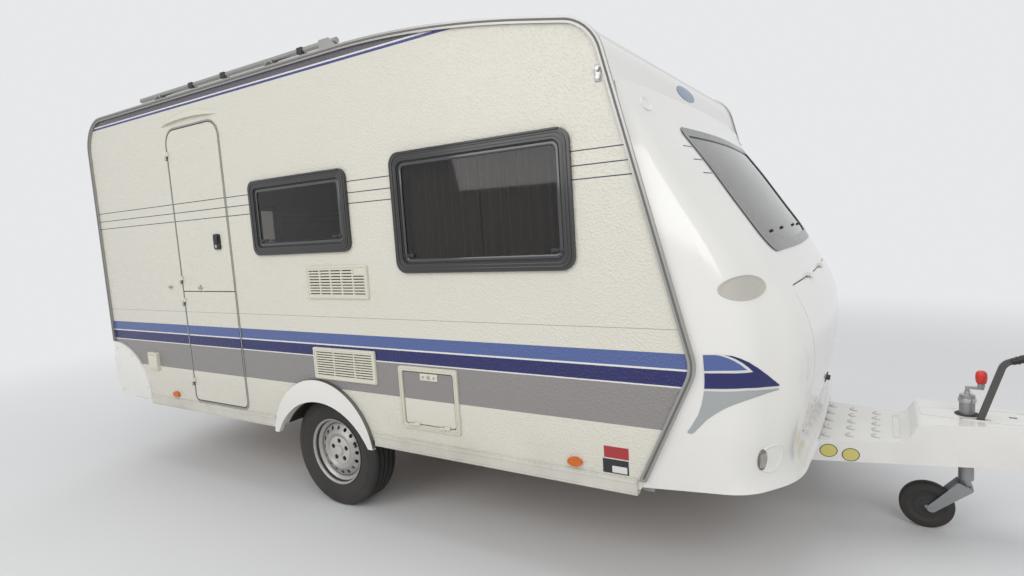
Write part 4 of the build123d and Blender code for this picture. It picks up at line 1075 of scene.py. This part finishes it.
class CARAVAN_OT_nose_fittings(bpy.types.Operator):
    """Lay the stripes' ends on the nose and add its ovals, lamps, recesses, lock and studs"""
    bl_idname = "caravan.nose_fittings"
    bl_label = "Nose fittings"

    def execute(self, context):
        nose = skin_of("nose_moulding")
        lid = skin_of("locker_lid")
        for side, name in SIDES:
            for label, finish, lift, outline in NOSE_FILMS:
                places = [at(x, side * 1.12, z) for x, z in outline]
                film = Shape().film(places, nose, Vector((0, -side, 0)), lift)
                film.piece(f"nose_stripe_{label}_{name}", finish, smooth=50.0)
            slant = Vector((-0.6, -0.8 * side, 0.0))
            level = Vector((0.8, -0.6 * side, 0.0))
            for label, finish, (station, width, height), (wide, high), rows, turns, smooth in NOSE_OVALS:
                oval = Shape().boss(at(station, side * width, height), level * wide, RISE * high, rows, nose,
                                    slant, turns)
                oval.piece(f"{label}_{name}", finish, smooth=smooth)
            ribs = Shape()
            middle = at(LAMP[0], side * LAMP[1], LAMP[2])
            for shift in (-0.012, -0.006, 0.0, 0.006, 0.012):
                reach = 0.032 * math.sqrt(1.0 - (shift / 0.021) ** 2)
                foot, head = (dropped(nose, middle + level * shift + RISE * way, slant, 0.0078)
                              for way in (-reach, reach))
                ribs.rod(foot, head, 0.0021, 10)
            ribs.piece("lamp_ribs_" + name, "oval_plate", slot="orange_lens")
            rows = [(1.0, -0.002), (1.0, 0.0030), (0.94, 0.0052), (0.84, 0.0040), (0.76, 0.0010),
                    (0.4, 0.0008)]
            recess = Shape().boss(at(4.15, side * 0.905, 2.018), Vector((0, side * 0.052, -0.010)),
                                  RISE * 0.030, rows, nose, REARWARD)
            recess.piece("nose_recess_" + name, "gloss_moulding", smooth=50.0)
            for number, height in enumerate((1.843, 1.784, 1.725), start=1):
                corners = [at(4.4, side * y, height + z) for y, z in
                           ((0.722, -0.0018), (0.812, -0.0018), (0.812, 0.0018), (0.722, 0.0018))]
                dash = Shape().film(corners, nose, REARWARD, 0.0009, 10)
                dash.piece(f"nose_dash_{number}_{name}", "decal_middle")
        badge = Shape().boss(at(4.2, 0.0, 2.200), Vector((0, 0.165, 0)), RISE * 0.040,
                             [(1.0, -0.002), (1.0, 0.0010), (0.97, 0.0022), (0.5, 0.0030)], nose, REARWARD,
                             64)
        badge.piece("brow_oval", "badge_paint", smooth=40.0)
        lock_place = at(4.9, 0.0, 0.700)
        lock = Shape().boss(lock_place, Vector((0, 0.034, 0)), RISE * 0.026,
                            [(1.0, -0.001), (1.0, 0.0030), (0.9, 0.0050), (0.5, 0.0052), (0.48, 0.0160),
                             (0.42, 0.0190)], lid, REARWARD, 40)
        lock.piece("lid_lock", "black_plastic", "locker_lid", smooth=40.0)
        barrel = Shape().boss(lock_place, Vector((0, 0.010, 0)), RISE * 0.010,
                              [(1.0, 0.017), (1.0, 0.0205), (0.8, 0.0212)], lid, REARWARD, 28)
        barrel.piece("lid_lock_barrel", "bare_steel", "locker_lid", "black_plastic", 40.0)
        slope = math.radians(55.0)
        inward = Vector((-math.sin(slope), 0.0, -math.cos(slope)))
        up = Vector((-math.cos(slope), 0.0, math.sin(slope)))
        glass = skin_of("window_panes")
        studs = Shape()
        for width in (-0.46, -0.20, 0.20, 0.46):
            studs.boss(at(4.425, width, 1.680) - up * 0.245 - inward * 0.1, Vector((0, 0.007, 0)), up * 0.007,
                       [(1.0, -0.0005), (1.0, 0.0060), (0.8, 0.0085), (0.4, 0.0090)], glass, inward, 24)
        studs.piece("front_pane_studs", "black_plastic", smooth=40.0)
        return {"FINISHED"}


JOCKEY_TUBE = 5.290


class CARAVAN_OT_drawbar_fittings(bpy.types.Operator):
    """Add the platform's crescents, the top plate, blank discs, grips and the bellows"""
    bl_idname = "caravan.drawbar_fittings"
    bl_label = "Drawbar fittings"

    def execute(self, context):
        treads = Shape()
        for station, gap in ((4.742, 0.120), (4.838, 0.1025), (4.942, 0.089)):
            for place in range(-2, 3):
                treads.crescent(at(station, place * gap, 0.4802))
        treads.piece("platform_crescents", "shaded_moulding", smooth=50.0)
        ridge = Shape().block((5.004, 5.030), (-0.168, 0.168), (0.4790, 0.4850), 0.0022)
        ridge.piece("platform_ridge", "gloss_moulding")
        plate = Shape()
        half_outline = [(5.112, -0.056), (5.400, -0.094), (5.528, -0.092)]
        outline = half_outline + [(x, -y) for x, y in reversed(half_outline)]
        face = plate.bm.faces.new([plate.bm.verts.new(at(x, y, 0.5662)) for x, y in outline])
        piece = plate.thicken([face], RISE * 0.0045, 0.0018).piece("drawbar_top_plate", "gloss_moulding")
        cutter = Shape().rod(at(JOCKEY_TUBE, 0.0, 0.50), at(JOCKEY_TUBE, 0.0, 0.62), 0.0400, 48)
        bore(piece, cutter.block((5.255, 5.370), (-0.0765, -0.0555), (0.50, 0.62)))
        tube_foot = at(JOCKEY_TUBE, 0.0, 0.0)
        grommet = Shape().turned([(0.0312, 0.562), (0.0312, 0.5745), (0.0330, 0.5760), (0.0440, 0.5750),
                                  (0.0470, 0.5728), (0.0470, 0.5710), (0.0396, 0.5705), (0.0396, 0.562)],
                                 tube_foot, RISE)
        grommet.piece("tube_grommet", "rubber_seal")
        collar = Shape().turned([(0.0302, 0.628), (0.0335, 0.629), (0.0345, 0.632), (0.0345, 0.645),
                                 (0.0335, 0.648), (0.0302, 0.649)], tube_foot, RISE)
        collar.turned([(0.0082, 0.6602), (0.0270, 0.6602), (0.0270, 0.6640), (0.0180, 0.6670),
                       (0.0120, 0.6680), (0.0120, 0.6800), (0.0082, 0.6810)], tube_foot, RISE)
        collar.piece("tube_collar", "bare_steel", slot="galvanised", smooth=40.0)
        knob = Shape().turned([(0.0, 0.7765), (0.0120, 0.7755), (0.0180, 0.7710), (0.0215, 0.7620),
                               (0.0225, 0.7450), (0.0205, 0.7270), (0.0180, 0.7200), (0.0145, 0.7170),
                               (0.0, 0.7170)], at(5.340, 0.0, 0.0), RISE, closed=False)
        knob.piece("crank_knob", "red_grip", smooth=45.0)
        foot, middle, head = at(5.436, -0.066, 0.8385), at(5.520, -0.066, 0.8700), at(5.604, -0.066, 0.9080)
        grip = Shape().rod(foot, middle, 0.0150, 28, 0.0175, 0.002)
        grip.rod(middle - (middle - foot) * 0.05, head, 0.0175, 28, 0.0160, 0.004)
        along = (head - foot).normalized() * 0.0022
        for share in (0.12 + step * 0.09 for step in range(9)):
            spot = foot.lerp(head, share) - RISE * (0.0022 * math.sin(math.pi * share))
            grip.rod(spot - along, spot + along, 0.0188, 28, bevel=0.0008)
        grip.piece("lever_grip", "black_plastic", smooth=40.0)
        # A thin black patch on the top plate for its slot: painted shade of the slot's inside
        slot = Shape().block((5.440, 5.468), (-0.007, 0.007), (0.5702, 0.5716), 0.0005, 1)
        slot.piece("plate_slot_shade", "blank_black")
        cover = skin_of("drawbar_cover")
        along, inward = Vector((0.9683, 0.2498, 0.0)), Vector((-0.2498, 0.9683, 0.0))
        for label, finish, scale, lift in (("rim", "blank_black", 1.0, 0.0007),
                                           ("face", "blank_yellow", 0.90, 0.0012)):
            discs = Shape()
            for station, width, height, wide in ((4.749, 0.3073, 0.4290, 0.038),
                                                 (4.838, 0.2843, 0.4130, 0.037)):
                discs.boss(at(station, -width, height), along * wide, RISE * 0.031,
                           [(scale, -0.0005), (scale, lift)], cover, inward, 40)
            discs.piece("blank_disc_" + label, finish, slot="cream_plastic")
        profile = [(0.0245, 0.0)]
        for start in (0.004 + fold * 0.022 for fold in range(6)):
            profile += [(0.0300, start), (0.0405, start + 0.0075), (0.0405, start + 0.0105),
                        (0.0300, start + 0.0185)]
        profile += [(0.0285, 0.142), (0.0245, 0.142)]
        bellows = Shape().turned(profile, at(5.5605, 0.0, 0.430), (1, 0, 0), 40)
        bellows.piece("draw_tube_bellows", "rubber_seal", smooth=40.0)
        handle = Shape().block((5.768, 5.850), (-0.013, 0.013), (0.4700, 0.5060), 0.006, 3)
        handle.rod(at(5.742, 0.0, 0.500), at(5.872, 0.0, 0.524), 0.0145, 28, bevel=0.004)
        handle.piece("coupling_handle", "black_plastic", smooth=40.0)
        hubs = Shape()
        for way in (-1, 1):
            hubs.turned([(0.0096, 0.0), (0.0480, 0.0), (0.0500, 0.0012), (0.0460, 0.0016), (0.0300, 0.0008),
                         (0.0220, 0.0034), (0.0096, 0.0040)], at(5.140, way * 0.0262, 0.112), (0, way, 0), 40)
        hubs.piece("jockey_hub_plates", "black_plastic", "jockey_wheel", smooth=40.0)
        return {"FINISHED"}


ROOF_RAIL = 0.980


class CARAVAN_OT_roof_fittings(bpy.types.Operator):
    """Add the roof rails' dark feet, the hatch ribs and the roof joint strips"""
    bl_idname = "caravan.roof_fittings"
    bl_label = "Roof fittings"

    def execute(self, context):
        for side, name in SIDES:
            feet = Shape()
            for station in (0.760, 1.951):
                made = bmesh.ops.create_uvsphere(feet.bm, u_segments=32, v_segments=20, radius=1.0)["verts"]
                for vert in made:
                    x, y, z = vert.co
                    squared = math.copysign(abs(z) ** 0.8, z)
                    vert.co = at(station + 0.074 * x * (1.0 - 0.12 * z), side * ROOF_RAIL + 0.034 * y,
                                 2.507 + 0.1035 * max(squared, -0.02))
                bmesh.ops.remove_doubles(feet.bm, verts=feet.bm.verts[:], dist=1e-5)
            feet.piece("rail_feet_" + name, "dark_moulding", smooth=50.0)
            clips = Shape()
            for station in (1.150, 1.500, 2.220):
                clips.block(around(station, 0.022), around(side * ROOF_RAIL, 0.022), (2.579, 2.6155), 0.004)
            clips.piece("rail_clips_" + name, "black_plastic")
        strips = Shape()
        for station in (1.120, 2.640):
            strips.block(around(station, 0.014), (-1.085, 1.085), (2.5040, 2.5085), 0.0018)
        strips.piece("roof_joint_strips", "roof_sheet")
        ribs = Shape()
        for width in (-0.100, 0.0, 0.100):
            ribs.block((1.880, 2.220), around(width, 0.010), (2.5595, 2.5655), 0.0028)
        ribs.piece("hatch_ribs", "clear_dome")
        return {"FINISHED"}


class CARAVAN_OT_rear_fittings(bpy.types.Operator):
    """Add lens covers, reflectors, a blank plate and grab handles at the rear"""
    bl_idname = "caravan.rear_fittings"
    bl_label = "Rear fittings"

    def execute(self, context):
        ambers, ribs, handles, lamps = Shape(), Shape(), Shape(), Shape()
        for side in (-1, 1):
            middle = side * 0.955
            ambers.block((-0.0205, -0.0135), around(middle, 0.051), (1.084, 1.176), 0.003, 3)
            for low, high in ((0.810, 0.910), (0.920, 1.070)):
                for step in range(5):
                    height = low + (step + 0.5) * (high - low) / 5
                    ribs.block((-0.0165, -0.0135), around(middle, 0.048), around(height, 0.0055), 0.0018)
            grip = -0.0285
            handles.rod(at(grip, side * 0.800, 0.930), at(grip, side * 0.800, 1.130), 0.0095, bevel=0.002)
            for height in (0.935, 1.125):
                handles.rod(at(0.001, side * 0.800, height), at(grip - 0.002, side * 0.800, height), 0.0135,
                            end_radius=0.0105, bevel=0.002)
            lamps.block((-0.022, 0.001), around(side * 0.13, 0.032), (0.974, 0.998), 0.005, 3)
        ambers.piece("rear_indicators", "orange_lens")
        ribs.piece("rear_lens_ribs", "red_lens")
        handles.piece("rear_grab_handles", "black_plastic", smooth=40.0)
        plate = Shape().block((-0.0045, 0.0005), (-0.270, 0.270), (0.846, 0.966), 0.0015)
        plate.piece("rear_blank_plate", "blank_white")
        lamps.piece("plate_lamps", "black_plastic", smooth=40.0)
        return {"FINISHED"}


# Soft lamps: name, place, aim, size, share of the power
LAMPS = [
    ("soft_front", (5.5, -5.5, 5.0), (0.8, -0.5, 1.0), 4.0, 1.0),
    ("soft_side", (-2.0, -7.5, 4.5), (-0.5, -1.0, 1.2), 5.0, 1.1),
    ("soft_top", (0.0, 0.5, 7.5), (0.0, 0.0, 1.5), 6.0, 0.9),
    ("soft_back", (-5.0, 5.5, 4.5), (-0.5, 0.5, 1.2), 4.5, 0.7),
]


class CARAVAN_OT_stage(bpy.types.Operator):
    """Set up the floor, the soft light and the photograph's camera"""
    bl_idname = "caravan.stage"
    bl_label = "Stage"

    def execute(self, context):
        scene = context.scene
        setup = scene.caravan_stage
        floor = bmesh.new()
        bmesh.ops.create_grid(floor, x_segments=1, y_segments=1, size=40.0)
        mesh = bpy.data.meshes.new("floor")
        floor.to_mesh(mesh)
        floor.free()
        ground = bpy.data.objects.new("floor", mesh)
        scene.collection.objects.link(ground)
        tree, shader, place = start_finish("pale_floor", 0.75)
        weather(tree, shader, place, setup.floor_colour[:3], 0.75, amount=0.05, scale=0.8)
        reach = put(tree, "ShaderNodeVectorMath", {0: place}, operation="LENGTH").outputs["Value"]
        fade = remap(tree, reach, 3.6, 9.0, interpolation_type="SMOOTHSTEP")
        haze = put(tree, "ShaderNodeEmission", {"Color": BACKDROP, "Strength": 1.0})
        share = sum_of(tree, "MULTIPLY", fade, shows_backdrop(tree))
        ends = put(tree, "ShaderNodeMixShader", {0: share, 1: shader.outputs[0], 2: haze.outputs[0]})
        feed(tree, tree.nodes["Material Output"], {0: ends.outputs[0]})
        mesh.materials.append(finishes["pale_floor"])

        scene.world = bpy.data.worlds.new("studio")
        scene.world.use_nodes = True
        sky = scene.world.node_tree
        even = feed(sky, sky.nodes["Background"], {"Color": (0.93, 0.95, 1.0, 1.0), "Strength": setup.sky})
        seen = put(sky, "ShaderNodeBackground", {"Color": BACKDROP, "Strength": 1.0})
        mixed = put(sky, "ShaderNodeMixShader", {0: shows_backdrop(sky), 1: even.outputs[0],
                                                 2: seen.outputs[0]})
        feed(sky, sky.nodes["World Output"], {0: mixed.outputs[0]})

        for name, place, aim, size, share in LAMPS:
            lamp = bpy.data.lights.new(name, "AREA")
            lamp.shape = "SQUARE"
            lamp.size = size
            lamp.energy = setup.lamp_power * share
            lamp_object = bpy.data.objects.new(name, lamp)
            lamp_object.location = place
            lamp_object.rotation_euler = (Vector(aim) - Vector(place)).to_track_quat("-Z", "Y").to_euler()
            scene.collection.objects.link(lamp_object)

        camera = bpy.data.cameras.new("photo_camera")
        camera.sensor_width = 36.0
        camera.lens = setup.lens
        camera.clip_end = 200.0
        view = bpy.data.objects.new("photo_camera", camera)
        forward = Vector((-0.52922, 0.84206, -0.10419)).normalized()
        right = Vector((0.84848, 0.52525, -0.06474)).normalized()
        turn = Matrix((right, right.cross(forward), -forward)).transposed()
        view.matrix_world = Matrix.Translation((2.0315, -3.3360, 1.5639)) @ turn.to_4x4()
        scene.collection.objects.link(view)
        scene.camera = view
        scene.view_settings.view_transform = "Standard"
        return {"FINISHED"}


class CARAVAN_PT_panel(bpy.types.Panel):
    """Lists the steps that dress the caravan"""
    bl_idname = "CARAVAN_PT_panel"
    bl_label = "Travel caravan"
    bl_space_type = "VIEW_3D"
    bl_region_type = "UI"
    bl_category = "Caravan"

    def draw(self, context):
        for name, _ in groups:
            group = getattr(context.scene, name)
            box = self.layout.box()
            for setting in group.__annotations__:
                box.prop(group, setting)
        for step in steps:
            self.layout.operator(step.bl_idname)


groups = [
    ("caravan_finish", CaravanFinish),
    ("caravan_fittings", CaravanFittings),
    ("caravan_stage", CaravanStage),
]
steps = [
    CARAVAN_OT_finish_nodes,
    CARAVAN_OT_curtains,
    CARAVAN_OT_tyres,
    CARAVAN_OT_wheel_fittings,
    CARAVAN_OT_window_fittings,
    CARAVAN_OT_vent_fittings,
    CARAVAN_OT_door_fittings,
    CARAVAN_OT_flap_fittings,
    CARAVAN_OT_door_hood,
    CARAVAN_OT_body_trim,
    CARAVAN_OT_nose_fittings,
    CARAVAN_OT_drawbar_fittings,
    CARAVAN_OT_roof_fittings,
    CARAVAN_OT_rear_fittings,
    CARAVAN_OT_stage,
]
classes = [kind for _, kind in groups] + steps + [CARAVAN_PT_panel]


def register():
    for kind in classes:
        bpy.utils.register_class(kind)
    for name, kind in groups:
        setattr(bpy.types.Scene, name, PointerProperty(type=kind))


def unregister():
    for name, _ in groups:
        delattr(bpy.types.Scene, name)
    for kind in reversed(classes):
        bpy.utils.unregister_class(kind)


def main():
    register()
    for step in steps:
        group, name = step.bl_idname.split(".")
        getattr(getattr(bpy.ops, group), name)()


if __name__ == "__main__":
    main()
